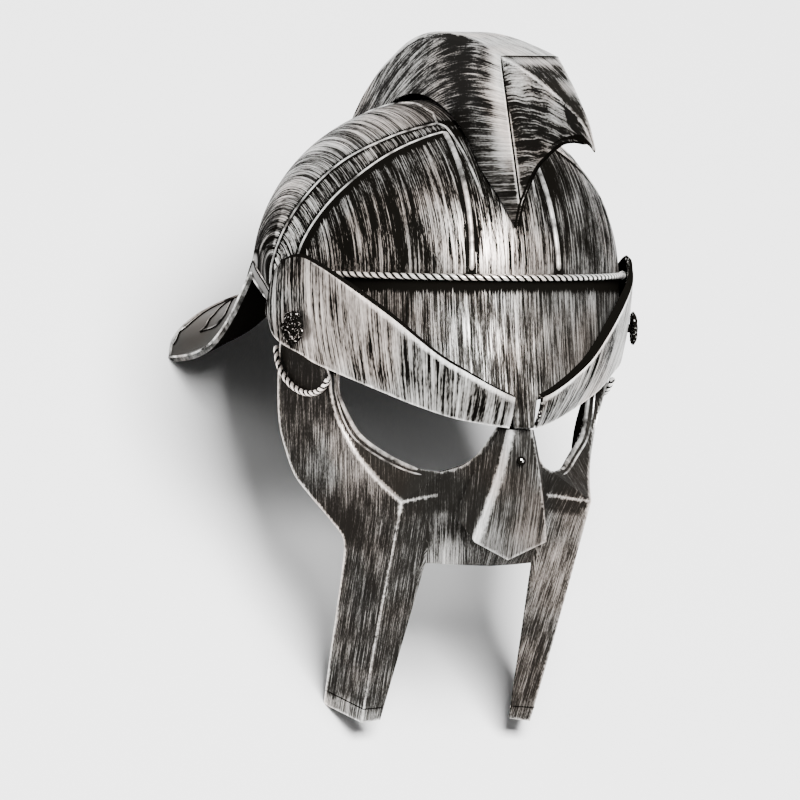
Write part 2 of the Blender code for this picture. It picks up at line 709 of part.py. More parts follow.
def build_floor_cutter():
    """A block under the floor, which trims the cheek tips and the guard corners flat where they stand."""
    width, length, depth = (size * MM for size in FLOOR_SIZE)
    mesh = bpy.data.meshes.new("floor_cutter")
    work = bmesh.new()
    bmesh.ops.create_cube(work, size=1.0)
    bmesh.ops.scale(work, verts=work.verts, vec=(width, length, depth))
    bmesh.ops.translate(work, verts=work.verts, vec=(0.0, 0.0, -depth / 2))
    work.to_mesh(mesh)
    work.free()
    cutter = bpy.data.objects.new("floor_cutter", mesh)
    bpy.context.scene.collection.objects.link(cutter)
    make_helper(cutter)
    return cutter


def build_helmet():
    for obj in list(bpy.data.objects):
        bpy.data.objects.remove(obj, do_unlink=True)
    stand = bpy.data.objects.new("stand", None)
    bpy.context.scene.collection.objects.link(stand)
    stand.rotation_euler = (-math.radians(STAND_LEAN), 0.0, 0.0)
    stand.location = (0.0, STAND_SHIFT * MM, STAND_LIFT * MM)
    skull = build_skull(stand)
    build_rope_band(stand)
    build_crest(stand)
    build_crest_post(stand)
    bands = [build_brow_band(side, stand) for side in (-1, 1)]
    mask = build_face_mask(stand)
    build_nasal(stand)
    build_nasal_rivet(stand)
    for side in (-1, 1):
        build_temple_rivet(side, stand)
        build_temple_rope(side, stand)
    for drill in build_rivet_drills(stand):
        for obj in [skull, mask, *bands]:
            boolean(obj, drill, "DIFFERENCE")
    floor = build_floor_cutter()
    for obj in (skull, mask):
        boolean(obj, floor, "DIFFERENCE")


build_helmet()
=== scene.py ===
"""Looks of the gladiator helmet: finely modelled shells, relief, rope trims and rosettes, in silver brushed over black.

Shape functions work in the shell frame, in millimetres: side (towards the wearer's left), forward and up, with the
origin on the line through the two temple rivets. to_frame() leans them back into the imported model's frame, in metres.
"""

import math

import bmesh
import bpy
import numpy as np
from mathutils import Matrix, Vector
from mathutils.bvhtree import BVHTree


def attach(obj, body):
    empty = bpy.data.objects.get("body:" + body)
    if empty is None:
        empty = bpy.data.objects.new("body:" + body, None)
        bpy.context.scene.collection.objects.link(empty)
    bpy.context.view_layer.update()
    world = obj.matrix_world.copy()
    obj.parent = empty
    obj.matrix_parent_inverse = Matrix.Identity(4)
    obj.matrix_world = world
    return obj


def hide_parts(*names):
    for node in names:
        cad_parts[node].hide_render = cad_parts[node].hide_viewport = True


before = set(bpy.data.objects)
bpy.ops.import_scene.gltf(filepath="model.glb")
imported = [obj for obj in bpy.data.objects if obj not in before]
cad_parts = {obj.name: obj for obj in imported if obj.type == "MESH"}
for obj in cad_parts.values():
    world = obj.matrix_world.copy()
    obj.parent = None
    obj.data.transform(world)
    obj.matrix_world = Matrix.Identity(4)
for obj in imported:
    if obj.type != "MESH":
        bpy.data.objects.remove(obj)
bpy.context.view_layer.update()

MM = 0.001
WALL = 2.2
GAP = 0.4
WELD = 0.02
BEAD_SIDES = 10
LEAST_MITRE = 0.5  # a wall's offset grows to at most the wall over this, at a sharp fold
STAND_LEAN = math.radians(51.8)
STAND_LIFT = 144.2
STAND_SHIFT = -11.0
STAND = Matrix.Translation((0.0, STAND_SHIFT * MM, STAND_LIFT * MM)) @ Matrix.Rotation(-STAND_LEAN, 4, "X")

# Skull: an ellipsoid down to the rope trim, then a plate in front and a flared guard behind.
SKULL_HALF_WIDTH = 83.0
SKULL_HALF_LENGTH = 99.6
SKULL_RISE = 82.4
SKULL_FORWARD = -34.0
SKULL_UP = 24.7
DOME_LOWEST = math.radians(9.0)
SKULL_EDGE_COLUMNS = ("azimuth", "side", "forward", "up", "corner")
SKULL_EDGE = (
    (0.0, 0.0, 73.6, -46.3, 0),
    (3.2, 4.6, 73.4, -46.3, 1),
    (5.0, 6.8, 71.6, -33.5, 1),
    (12.0, 17.5, 69.0, -31.0, 0),
    (21.0, 30.0, 63.6, -22.5, 0),
    (30.5, 42.0, 54.6, -14.0, 0),
    (43.5, 56.4, 39.4, -8.0, 0),
    (57.0, 69.2, 20.4, -7.0, 0),
    (67.0, 76.6, 4.0, -9.0, 0),
    (76.0, 80.6, -11.0, -7.0, 0),
    (85.0, 82.2, -26.0, 3.0, 0),
    (93.0, 82.2, -42.0, 14.0, 0),
    (102.0, 80.6, -59.0, 21.5, 0),
    (111.0, 77.6, -72.0, 25.5, 0),
    (119.0, 76.8, -86.0, 16.5, 0),
    (126.0, 77.2, -97.0, 7.0, 0),
    (133.0, 77.8, -109.5, -1.5, 0),
    (140.0, 78.2, -124.0, -8.0, 0),
    (147.0, 78.6, -145.0, -12.2, 0),
    (153.0, 79.0, -172.0, -13.6, 1),
    (158.0, 74.0, -178.0, -3.5, 0),
    (163.0, 61.5, -181.4, 6.5, 0),
    (169.0, 41.0, -185.3, 15.2, 0),
    (174.5, 20.5, -187.4, 19.8, 0),
    (180.0, 0.0, -188.0, 21.2, 0),
)
DOME_ROWS = 56
SKIRT_ROWS = 24
COLUMN_STEPS = 6

# How wide a strip the brush left bare beside the skull's raised lines and under the rope trim.
BARE_FRONT = 4.6
BARE_LINE = 2.0
BARE_RIDGE = 2.3
BARE_ROPE = 7.0

# Raised lines of the skull, as azimuth and elevation on the ellipsoid, in degrees.
FRONT_RIDGE_RADIUS = 1.2
SIDE_RIDGE_RADIUS = 0.55
FRONT_RIDGE_HALF = (21.8, 18.4)
FRONT_RIDGE_ELEVATION = (1.0, 53.0)
FRONT_RIDGE_STEPS = 60
SIDE_RIDGE_STEPS = 14
SIDE_RIDGE_REAR = ((25.3, 58.2), (39.4, 54.3), (50.7, 49.6), (66.9, 39.6), (79.3, 23.9), (88.5, 5.0), (90.0, -3.0))
SIDE_RIDGE_FRONT = ((21.9, 53.2), (30.4, 50.6), (41.7, 45.3), (52.4, 37.5), (64.5, 24.7), (73.0, 11.0), (76.0, 1.0))
CREST_LINE_FRONT = ((25.3, 58.2), (19.9, 55.1), (15.0, 44.2), (12.7, 36.4), (11.1, 29.8), (10.0, 25.1))
CREST_LINE_REAR = ((25.3, 58.2), (27.1, 62.8), (30.4, 67.0), (53.9, 76.2), (105.0, 76.0), (132.0, 66.0))

# The rolled lip of the arch over each ear: its first and last column, its width, the line above it and how far above
# that a thin painted highlight line runs.
ARCH_COLUMNS = (57, 93)
ARCH_LIP = 6.0
ARCH_LINE_RADIUS = 0.5
ARCH_GLINT_RISE = 0.9

# Neck guard: its bright edge, and grooves that each have a thinner painted highlight line behind them.
GUARD_START = 11 * COLUMN_STEPS
GUARD_LINE_RADIUS = 0.45
GUARD_LINE_STEPS = 8
GUARD_EDGE_RADIUS = 0.55
GUARD_EDGE_RISE = 0.4
GLINT_SHIFT = (0.0, -1.1, 0.4)
GLINT_SHARE = 0.6
# Its relief: side, forward and up of each line's points, on the wearer's left.
GUARD_GROOVE = ((0.0, -185.4, 20.6), (20.0, -184.9, 19.2), (41.0, -183.3, 14.9), (49.9, -182.6, 11.3),
                (57.1, -180.6, 8.2), (62.2, -178.7, 5.1), (67.4, -177.7, 1.1), (71.2, -177.8, -1.6),
                (73.6, -175.6, -4.7), (75.6, -174.8, -7.7))
LEAF_UPPER = ((41.3, -183.5, 14.9), (47.7, -178.8, 11.8), (52.5, -174.7, 9.3), (56.1, -171.3, 6.8), (59.1, -169.8, 4.2),
              (62.2, -166.9, 1.1), (65.4, -166.8, -1.6))
LEAF_LOWER = ((65.4, -166.8, -1.6), (63.2, -164.7, -0.5), (61.1, -162.5, 0.5), (58.5, -161.8, 2.0), (54.9, -163.6, 5.1),
              (51.5, -167.2, 8.7), (41.3, -183.5, 14.9))

# Rope trims: two twisted strands.
ROPE_RADIUS = 1.4
ROPE_SAG = 2.0
ROPE_KNOB_RADIUS = 1.9
ROPE_END_AZIMUTH = 59.5
ROPE_PITCH = 3.8
ROPE_GROOVE = 0.22
ROPE_RING = 0.35
ROPE_SIDES = 20

# Crest: cross sections from its beak to its rear end; the corner column marks the folds.
CREST_COLUMNS = ("top_forward", "top_up", "top_half", "chamfer", "base_forward", "base_up", "base_half", "corner")
CREST = (
    (154.4, 80.5, 0.5, 0.1, 154.2, 78.9, 0.3, 1),
    (150.0, 86.5, 0.9, 0.1, 149.5, 81.6, 0.4, 0),
    (144.0, 92.6, 1.8, 0.1, 143.5, 83.0, 0.4, 0),
    (132.5, 100.0, 3.6, 0.1, 132.0, 84.1, 0.4, 0),
    (118.0, 108.0, 6.2, 0.1, 117.0, 83.4, 0.5, 0),
    (103.0, 115.0, 9.0, 0.1, 100.9, 78.6, 0.5, 0),
    (90.0, 120.3, 11.8, 0.1, 86.3, 72.1, 0.5, 0),
    (79.0, 124.2, 14.3, 0.2, 70.0, 57.6, 0.7, 1),
    (76.0, 125.0, 14.3, 0.4, 63.6, 45.8, 0.8, 1),
    (67.0, 127.2, 14.1, 0.8, 56.9, 59.0, 6.6, 0),
    (55.0, 129.8, 13.9, 1.2, 47.2, 73.2, 11.2, 0),
    (39.0, 133.0, 13.6, 1.8, 32.0, 88.0, 11.9, 0),
    (20.0, 136.0, 13.2, 2.6, 13.0, 99.4, 12.1, 0),
    (-2.0, 137.9, 12.7, 3.4, -8.0, 106.6, 12.2, 0),
    (-24.0, 137.4, 12.1, 4.2, -27.0, 109.6, 12.2, 0),
    (-46.0, 134.2, 11.4, 4.8, -46.0, 108.8, 12.0, 0),
    (-66.0, 128.4, 10.6, 5.0, -64.0, 104.6, 11.6, 0),
    (-86.0, 121.4, 9.6, 4.8, -82.0, 97.4, 10.8, 0),
    (-105.0, 111.6, 8.4, 4.4, -99.0, 86.8, 9.8, 0),
    (-124.0, 97.6, 7.0, 3.6, -114.0, 72.8, 8.4, 0),
    (-139.0, 80.0, 5.2, 2.6, -125.4, 58.6, 6.4, 0),
    (-146.0, 62.0, 3.0, 1.2, -131.0, 49.4, 3.6, 1),
)
# The fold between the beak and the flank, down from the top, and the last section of the beak.
CREST_FOLD = ((14.3, 79.0, 124.2), (0.7, 70.0, 57.6), (1.0, 64.2, 46.6))
CREST_FOLD_ROW = 8
CREST_WALL = 2.0
CREST_TIP = 14.0  # the wall thins over this length
CREST_TIP_SHARE = 0.2  # how much of the wall is left at the tip
CREST_SEAT = 1.5
CREST_STEPS = 8
CREST_FLANK_ROWS = 22
CREST_SLOPE_ROWS = 3
CREST_TOP_ROWS = 5
CREST_SEAM_RADIUS = 0.55
CREST_SEAM_STEPS = 12

# Brow bands: stations from the nose to the temple.
BROW_COLUMNS = ("top_side", "top_forward", "top_up", "low_side", "low_forward", "low_up", "flange")
BROW = (
    (7.0, 78.6, -32.5, 6.8, 71.0, -46.5, 4.4),
    (14.9, 77.2, -28.8, 16.5, 61.5, -44.6, 5.2),
    (26.5, 72.6, -21.9, 27.5, 51.0, -41.6, 5.2),
    (39.7, 64.2, -12.6, 41.7, 40.6, -35.8, 5.0),
    (57.0, 50.2, 4.6, 56.0, 30.4, -28.8, 4.6),
    (71.7, 32.4, 19.4, 69.4, 15.4, -21.2, 3.0),
    (79.4, 15.2, 28.7, 77.0, 6.6, -16.6, 1.6),
    (83.6, 2.8, 32.6, 81.0, -1.0, -12.4, 1.6),
    (86.8, -12.0, 30.2, 86.0, -11.5, -7.6, 1.8),
    (88.0, -20.6, 23.0, 87.7, -18.8, -3.4, 2.0),
    (88.3, -23.6, 14.0, 88.3, -23.2, 2.5, 1.8),
)
BROW_BULGE = 1.6
BROW_WALL = 1.8
BROW_STEPS = 9
BROW_FACE_ROWS = 26
BROW_FLANGE_ROWS = 4

# Face mask: ribs across the cheek, from its back edge over the ridge to the eye or mouth.
CHEEK_COLUMNS = ("back_side", "back_forward", "back_up", "ridge_side", "ridge_forward", "ridge_up",
                 "inner_side", "inner_forward", "inner_up")
EYE_RIBS = (
    (79.3, -25.0, 8.0, 75.6, -3.0, 8.0, 72.6, 6.0, 8.0),
    (79.5, -31.0, -8.0, 74.6, 0.5, -7.0, 70.6, 11.0, -7.0),
    (79.5, -33.0, -19.5, 71.0, 8.2, -20.0, 64.6, 4.0, -19.0),
    (78.5, -36.0, -31.6, 68.5, 6.6, -31.6, 62.8, 0.4, -30.0),
    (76.2, -39.6, -44.7, 65.0, 6.6, -43.6, 58.6, 5.6, -42.4),
    (73.8, -38.6, -55.8, 61.2, 10.6, -53.8, 54.6, 10.6, -50.4),
    (71.0, -33.6, -68.4, 56.8, 17.6, -63.4, 46.3, 18.6, -58.2),
    (67.2, -23.6, -78.1, 52.2, 28.0, -72.6, 37.0, 30.4, -64.6),
    (64.0, -14.5, -85.6, 47.6, 40.3, -80.5, 28.0, 40.7, -66.8),
)
CHEEK_RIBS = (
    (64.0, -14.5, -85.6, 47.6, 40.3, -80.5, 27.9, 34.6, -77.4),
    (58.8, -5.2, -96.3, 47.0, 31.4, -95.5, 27.4, 26.0, -94.5),
    (57.2, -6.4, -103.5, 46.5, 23.6, -108.7, 26.9, 18.8, -109.0),
    (56.2, -12.6, -116.0, 46.0, 16.2, -121.1, 27.8, 12.2, -121.0),
    (54.4, -24.2, -135.0, 45.0, 2.6, -144.1, 29.7, -0.4, -144.0),
    (52.8, -35.8, -156.0, 43.9, -9.6, -164.6, 31.3, -11.9, -164.5),
    (51.2, -46.3, -175.3, 42.7, -20.8, -183.6, 32.8, -21.6, -182.5),
)
NOSE_COLUMNS = ("rim_side", "rim_forward", "rim_up", "mid_side", "mid_forward", "mid_up",
                "centre_side", "centre_forward", "centre_up")
NOSE = (
    (8.0, 62.4, -39.5, 4.2, 65.0, -39.5, 0.0, 65.9, -39.5),
    (8.4, 60.6, -45.0, 4.6, 62.8, -45.5, 0.0, 63.8, -45.5),
    (11.2, 56.8, -51.5, 6.6, 59.8, -52.0, 0.0, 61.4, -52.5),
    (15.4, 52.9, -58.6, 9.0, 56.8, -59.0, 0.0, 59.6, -60.0),
    (20.4, 47.8, -63.8, 12.0, 53.0, -65.5, 0.0, 57.2, -66.5),
    (28.0, 40.7, -66.8, 16.0, 48.6, -70.5, 0.0, 55.0, -72.0),
    (27.9, 34.6, -77.4, 19.0, 43.6, -79.0, 0.0, 50.8, -80.5),
    (27.4, 26.0, -94.5, 19.0, 36.6, -94.5, 0.0, 42.6, -95.5),
    (26.9, 18.8, -109.0, 14.0, 27.0, -109.8, 0.0, 31.5, -110.4),
)
NOSE_CORNER = 5
MASK_STEPS = 6
MASK_ACROSS = 8
TIP_COLUMN = 34
TIP_SEAM_RADIUS = 0.3

# Raised lines along the lower edge of each eye: how far in, how thick, and from which rib to which.
EYE_BEADS = (
    (0.9, 1.0, 1.2, 7.3),
    (3.9, 0.45, 2.2, 7.6),
)

# Nose guard: front facet edge and the rear edge of its side facet.
NASAL_COLUMNS = ("front_side", "front_forward", "front_up", "back_side", "back_forward", "back_up")
NASAL = (
    (5.4, 69.2, -47.2, 8.6, 63.6, -47.2),
    (7.2, 68.8, -55.3, 11.8, 60.2, -55.0),
    (10.0, 67.2, -67.0, 16.2, 54.4, -65.0),
    (12.6, 64.6, -77.6, 19.2, 50.0, -73.8),
    (15.6, 60.8, -89.3, 21.4, 46.6, -81.6),
    (17.9, 56.5, -99.0, 22.6, 44.3, -86.4),
)
NASAL_TIP = (0.0, 53.5, -107.4)
NASAL_STEPS = 5
NASAL_ACROSS = 6
NASAL_TIP_ROWS = 5
NASAL_RIVET = (68.9, -61.6)
NASAL_RIVET_AXIS = (0.0, 1.0, 0.16)

# Rivets: the rows below the dome, as radius and height, then the dome's radius, start, height, rings and tip.
NASAL_RIVET_FOOT = ((1.974, 0.0), (2.1, 0.15), (2.1, 0.5))
NASAL_RIVET_DOME = (2.1, 0.5, 1.6, 12, 0.05)
RIVET_FOOT = ((4.0, -13.2), (4.0, -12.0), (2.0, -12.0), (2.0, 1.45), (7.2, 1.45), (7.84, 2.0))
RIVET_DOME = (8.0, 2.4, 4.4, 24, 0.15)
NASAL_RIVET_SIDES = 36
RIVET_SIDES = 84
RIVET_SEAT = 5.5
ROSETTE_PETALS = 7

# Rope arcs below the brow bands.
TEMPLE_ROPE_CENTRE = (-8.0, -9.5)
TEMPLE_ROPE_RADII = (23.0, 20.6)
TEMPLE_ROPE_ANGLES = (176.0, 318.0)
TEMPLE_ROPE_STEPS = 150

# Slots of each shell's materials.
OUTER, RIM, INNER, RIDGE = range(4)
FAR = 60.0
EVEN_COAT = 0.5

# Black plastic and the silver brushed over it.
BLACK = (0.0030, 0.0027, 0.0022)
SILVER_THIN = (0.070, 0.066, 0.060)
SILVER_THICK = (0.96, 0.95, 0.92)
METALLIC = (0.0, 0.70)
ROUGHNESS = (0.30, 0.36)
SATIN = (0.064, 0.061, 0.056)
WARM = (1.0, 0.90, 0.85)
WARM_SIZE = 45.0
SHINE = 0.0


def named(rows, columns):
    return [dict(zip(columns, row)) for row in rows]


def picked(rows, columns, *names):
    """A vector of the named columns for each row."""
    return [Vector([row[name] for name in names]) for row in named(rows, columns)]


def corner_rows(rows):
    """Numbers of the rows that the last column marks as corners."""
    return [index for index, row in enumerate(rows) if row[-1]]


def smooth_step(value):
    value = min(max(value, 0.0), 1.0)
    return value * value * (3.0 - 2.0 * value)


def rise(value, start, end):
    """Goes smoothly from 0 at the start to 1 at the end, which may lie below it."""
    return smooth_step((value - start) / (end - start))


def mix(first, second, share):
    return first + (second - first) * share


def resampled(rows, steps, corners=()):
    """Catmull-Rom samples through rows of vectors, a fixed number of steps per span, broken at the corner rows."""
    found = []
    last = len(rows) - 1
    for index in range(last):
        p1, p2 = rows[index], rows[index + 1]
        p0 = rows[index - 1] if index > 0 and index not in corners else p1 * 2 - p2
        p3 = rows[index + 2] if index + 2 <= last and index + 1 not in corners else p2 * 2 - p1
        for step in range(steps):
            share = step / steps
            found.append(0.5 * (2 * p1 + (p2 - p0) * share + (2 * p0 - 5 * p1 + 4 * p2 - p3) * share ** 2
                                + (3 * p1 - p0 - 3 * p2 + p3) * share ** 3))
    found.append(rows[last] * 1.0)
    return found


def ellipsoid(azimuth, elevation, offset=0.0):
    """Point of the dome, with azimuth from the front and elevation from the rope trim, in radians."""
    flat = math.cos(elevation)
    return Vector((
        (SKULL_HALF_WIDTH + offset) * math.sin(azimuth) * flat,
        SKULL_FORWARD + (SKULL_HALF_LENGTH + offset) * math.cos(azimuth) * flat,
        SKULL_UP + (SKULL_RISE + offset) * math.sin(elevation),
    ))


def skull_column(azimuth, edge):
    """Points of one meridian, from the rim of the pole down to the lower edge."""
    low = DOME_LOWEST * rise(math.degrees(azimuth), 45.0, 80.0)
    points = [ellipsoid(azimuth, mix(math.pi / 2, low, (row / DOME_ROWS) ** 0.92)) for row in range(1, DOME_ROWS + 1)]
    start = points[-1]
    down = Vector((
        SKULL_HALF_WIDTH * math.sin(azimuth) * math.sin(low),
        SKULL_HALF_LENGTH * math.cos(azimuth) * math.sin(low),
        -SKULL_RISE * math.cos(low),
    )).normalized()
    span = edge - start
    flare = rise(math.degrees(azimuth), 104.0, 130.0)
    outward = Vector((span.x, span.y, span.z * mix(1.0, 0.35, flare))).normalized()
    bend = start + down * span.length * mix(0.33, 0.42, flare)
    arrive = edge - outward * span.length * mix(0.33, 0.45, flare)
    for row in range(1, SKIRT_ROWS + 1):
        share = row / SKIRT_ROWS
        rest = 1 - share
        points.append(rest ** 3 * start + 3 * rest ** 2 * share * bend + 3 * rest * share ** 2 * arrive
                      + share ** 3 * edge)
    return points


def flipped(point):
    return Vector((-point[0], point[1], point[2]))


def on_side(points, side):
    """The points on the wearer's left, or mirrored to the right."""
    return list(points) if side > 0 else [flipped(point) for point in points]


def to_frame(point):
    return STAND @ (Vector((point[0], -point[1], point[2])) * MM)


def on_floor(point):
    """The feet are trimmed flat where the helmet stands."""
    placed = to_frame(point)
    placed.z = max(placed.z, 0.0)
    return placed


class Sheet:
    """Shell-frame points and faces of one piece while it is put together, with each face's material slot."""

    def __init__(self):
        self.points, self.faces, self.slots = [], [], []

    def add(self, points, faces, slot=OUTER):
        start = len(self.points)
        self.points.extend(Vector(point) for point in points)
        self.faces.extend(tuple(start + index for index in face) for face in faces)
        self.slots.extend([slot] * len(faces))

    def add_grid(self, columns, slot=OUTER, closed=False):
        self.add([point for column in columns for point in column],
                 grid_faces(len(columns), len(columns[0]), closed), slot)

    def thicken(self, wall, inside, taper=lambda point: 1.0):
        """Welds the sheet, faces it away from a point and gives it an inner side and a rim; taper(point) thins it."""
        work = bmesh.new()
        corners = [work.verts.new(point) for point in self.points]
        for face, slot in zip(self.faces, self.slots):
            work.faces.new([corners[index] for index in face]).material_index = slot
        bmesh.ops.remove_doubles(work, verts=work.verts, dist=WELD)
        bmesh.ops.dissolve_degenerate(work, edges=work.edges, dist=WELD / 2)
        bmesh.ops.recalc_face_normals(work, faces=work.faces)
        centre = Vector(inside)
        facing = sum((face.calc_center_median() - centre).dot(face.normal) * face.calc_area() for face in work.faces)
        if facing < 0:
            bmesh.ops.reverse_faces(work, faces=work.faces)
        work.normal_update()
        outer_faces, rims = list(work.faces), [edge for edge in work.edges if edge.is_boundary]
        inner = {vert: work.verts.new(vert.co - even_normal(vert) * wall * taper(vert.co)) for vert in list(work.verts)}
        for face in outer_faces:
            work.faces.new([inner[vert] for vert in reversed(face.verts)]).material_index = INNER
        for edge in rims:
            loop = edge.link_loops[0]
            first, second = loop.vert, loop.link_loop_next.vert
            work.faces.new([second, first, inner[first], inner[second]]).material_index = RIM
        work.verts.index_update()
        self.points = [vert.co.copy() for vert in work.verts]
        self.faces = [tuple(vert.index for vert in face.verts) for face in work.faces]
        self.slots = [face.material_index for face in work.faces]
        work.free()


def even_normal(vert):
    """Offset direction that keeps one wall thickness on every face around a vertex."""
    closest = min((vert.normal.dot(face.normal) for face in vert.link_faces), default=1.0)
    return vert.normal / max(closest, LEAST_MITRE)


def grid_faces(columns, rows, closed=False, ringed=False):
    """Quads of a grid of points: closed joins its last column to the first, and ringed its last row to the first."""
    faces = []
    for column in range(columns if closed else columns - 1):
        here, following = column * rows, (column + 1) % columns * rows
        for row in range(rows if ringed else rows - 1):
            below = (row + 1) % rows
            faces.append((here + row, here + below, following + below, following + row))
    return faces


def ring_faces(rings, sides):
    """Faces of a closed tube of rings, with its two ends."""
    ends = [tuple(reversed(range(sides))), tuple(range((rings - 1) * sides, rings * sides))]
    return grid_faces(rings, sides, ringed=True) + ends


def lengths(path):
    """How far along the path each of its points lies."""
    travelled = [0.0]
    for first, second in zip(path, path[1:]):
        travelled.append(travelled[-1] + (second - first).length)
    return travelled


def tube(path, hints, radii, sides, profile=None):
    """Points and faces of a closed tube along a path; profile(length, angle) scales its radius."""
    points, last = [], len(path) - 1
    for index, (centre, travelled) in enumerate(zip(path, lengths(path))):
        ahead = (path[min(index + 1, last)] - path[max(index - 1, 0)]).normalized()
        across = hints[index].cross(ahead).normalized()
        other = ahead.cross(across)
        for side in range(sides):
            angle = 2 * math.pi * side / sides
            radius = radii[index] * (profile(travelled, angle) if profile else 1.0)
            points.append(centre + (across * math.cos(angle) + other * math.sin(angle)) * radius)
    return points, ring_faces(len(path), sides)


def rope_lay(length, angle):
    """Two strands laid round each other: 1 on top of a strand, 0 in the groove that comes every ROPE_PITCH."""
    return abs(math.cos(angle + math.pi * length / ROPE_PITCH)) ** 0.6


def rope_profile(length, angle):
    return 1.0 - ROPE_GROOVE + ROPE_GROOVE * rope_lay(length, angle)


def rope_coats(path):
    """The brush touches the strands and misses the grooves."""
    return [rope_lay(length, 2 * math.pi * side / ROPE_SIDES) for length in lengths(path) for side in range(ROPE_SIDES)]


def make_rope(name, node, path, hints, radii, material):
    sheet = Sheet()
    sheet.add(*tube(path, hints, radii, ROPE_SIDES, rope_profile))
    return make_piece(name, node, sheet, [material], coats=rope_coats(path), flat_angle=60.0)


def make_piece(name, node, sheet, materials, stroke=None, coat=None, margins=None, edges=None,
               coats=None, flat_angle=30.0, bevel=0.0):
    """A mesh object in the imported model's frame that stands for a node.

    stroke(point, normal) gives a face corner's place across and along the brush strokes in millimetres, and may add
    how soft they are there, from 0 to 1. coat(point) gives how much silver the brush left at a point, or coats lists
    it. margins(point) gives the distances in millimetres from up to three places that the brush missed, and
    edges(point) from edges that caught more of it.
    """
    mesh = bpy.data.meshes.new(name)
    # The shell frame is left-handed, so each face is turned round.
    mesh.from_pydata([on_floor(point) for point in sheet.points], [], [face[::-1] for face in sheet.faces])
    mesh.polygons.foreach_set("material_index", sheet.slots)
    for material in materials:
        mesh.materials.append(material)
    outer = [polygon for polygon in mesh.polygons if sheet.slots[polygon.index] == OUTER]
    vertices = {index for polygon in outer for index in polygon.vertices}
    count = len(mesh.vertices)
    strokes = np.zeros((len(mesh.loops), 3), dtype=np.float32)
    if stroke:
        to_shell = STAND.to_3x3().inverted()
        for polygon in outer:
            facing = to_shell @ polygon.normal
            normal = Vector((facing.x, -facing.y, facing.z))
            for loop, vertex in zip(polygon.loop_indices, polygon.vertices):
                found = stroke(sheet.points[vertex], normal)
                strokes[loop, :len(found)] = found
    store(mesh, "stroke", "CORNER", strokes)
    for attribute, function, values in (
        ("margins", margins, np.full((count, 3), FAR, dtype=np.float32)),
        ("edges", edges, np.full((count, 3), FAR, dtype=np.float32)),
        ("coat", coat, np.array(coats or [EVEN_COAT] * count, dtype=np.float32)),
    ):
        for vertex in vertices if function else ():
            values[vertex] = function(sheet.points[vertex])
        store(mesh, attribute, "POINT", values)
    mesh.shade_smooth()
    mesh.set_sharp_from_angle(angle=math.radians(flat_angle))
    piece = linked(name, mesh)
    if bevel:
        rounding = piece.modifiers.new("edges", "BEVEL")
        rounding.width = bevel * MM
        rounding.segments = 2
        rounding.limit_method = "ANGLE"
        rounding.angle_limit = math.radians(50.0)
        rounding.use_clamp_overlap = True
    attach(piece, "root")
    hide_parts(node)
    return piece


def store(mesh, name, domain, values):
    """Keeps one number or vector for each point or face corner, for the materials to read."""
    kind, field = ("FLOAT", "value") if values.ndim == 1 else ("FLOAT_VECTOR", "vector")
    mesh.attributes.new(name, kind, domain).data.foreach_set(field, values.ravel())


def linked(name, data):
    """A new object in the scene."""
    made = bpy.data.objects.new(name, data)
    bpy.context.scene.collection.objects.link(made)
    return made


def tag(side):
    return "left" if side > 0 else "right"


def skull_columns():
    rows = picked(SKULL_EDGE, SKULL_EDGE_COLUMNS, "azimuth", "side", "forward", "up")
    columns = [skull_column(math.radians(row[0]), Vector(row[1:]))
               for row in resampled(rows, COLUMN_STEPS, corner_rows(SKULL_EDGE))]
    return columns + [on_side(column, -1) for column in columns[-2:0:-1]]


def ridge_path(stations, steps):
    knots = [Vector((math.radians(azimuth), math.radians(elevation))) for azimuth, elevation in stations]
    return [ellipsoid(knot.x, knot.y) for knot in resampled(knots, steps)]


def front_ridge_path():
    path = []
    for step in range(FRONT_RIDGE_STEPS + 1):
        elevation = math.radians(mix(*FRONT_RIDGE_ELEVATION, step / FRONT_RIDGE_STEPS))
        half = mix(*FRONT_RIDGE_HALF, step / FRONT_RIDGE_STEPS)
        path.append(ellipsoid(math.asin(half / (SKULL_HALF_WIDTH * math.cos(elevation))), elevation))
    return path


def dome_stroke(point, normal):
    """Strokes run from front to back, on planes parallel to the middle one, and are finer behind the side ridges."""
    across = SKULL_HALF_WIDTH * math.asin(min(max(point.x / (SKULL_HALF_WIDTH + 3.0), -1.0), 1.0))
    ahead, above = point.y - SKULL_FORWARD, point.z - SKULL_UP
    if above < 0 < ahead:
        return 2.1 * across, above, 1.0
    turn = math.atan2(above, ahead) % (2 * math.pi)
    along = math.hypot(above, ahead) * (turn if turn < 0.9 else 0.9 + 0.45 * (turn - 0.9))
    if ahead < 0 or SIDE_LINES[1].distance(point, True) < 0:
        return 1.7 * across, along, 0.8
    return 1.25 * across, along, 0.7 * rise(point.x, 20.0, 36.0)


class Line:
    """A polyline on the shell that tells how far a point lies from it, and on which side."""

    def __init__(self, path, mirrored=True):
        self.path = np.array([tuple(point) for point in path])
        self.mirrored = mirrored

    def distance(self, point, signed=False):
        """With signed, it is positive on the side that lies right of the line seen from outside the dome."""
        place = np.array((abs(point.x) if self.mirrored else point.x, point.y, point.z))
        starts, spans = self.path[:-1], np.diff(self.path, axis=0)
        shares = ((place - starts) * spans).sum(axis=1) / np.maximum((spans ** 2).sum(axis=1), 1e-9)
        feet = starts + spans * np.clip(shares, 0.0, 1.0)[:, None]
        gaps = np.linalg.norm(place - feet, axis=1)
        nearest = int(gaps.argmin())
        if not signed:
            return float(gaps[nearest])
        outward = feet[nearest] - np.array((0.0, SKULL_FORWARD, SKULL_UP))
        side = np.cross(spans[nearest], place - feet[nearest]).dot(outward)
        return math.copysign(float(gaps[nearest]), side)


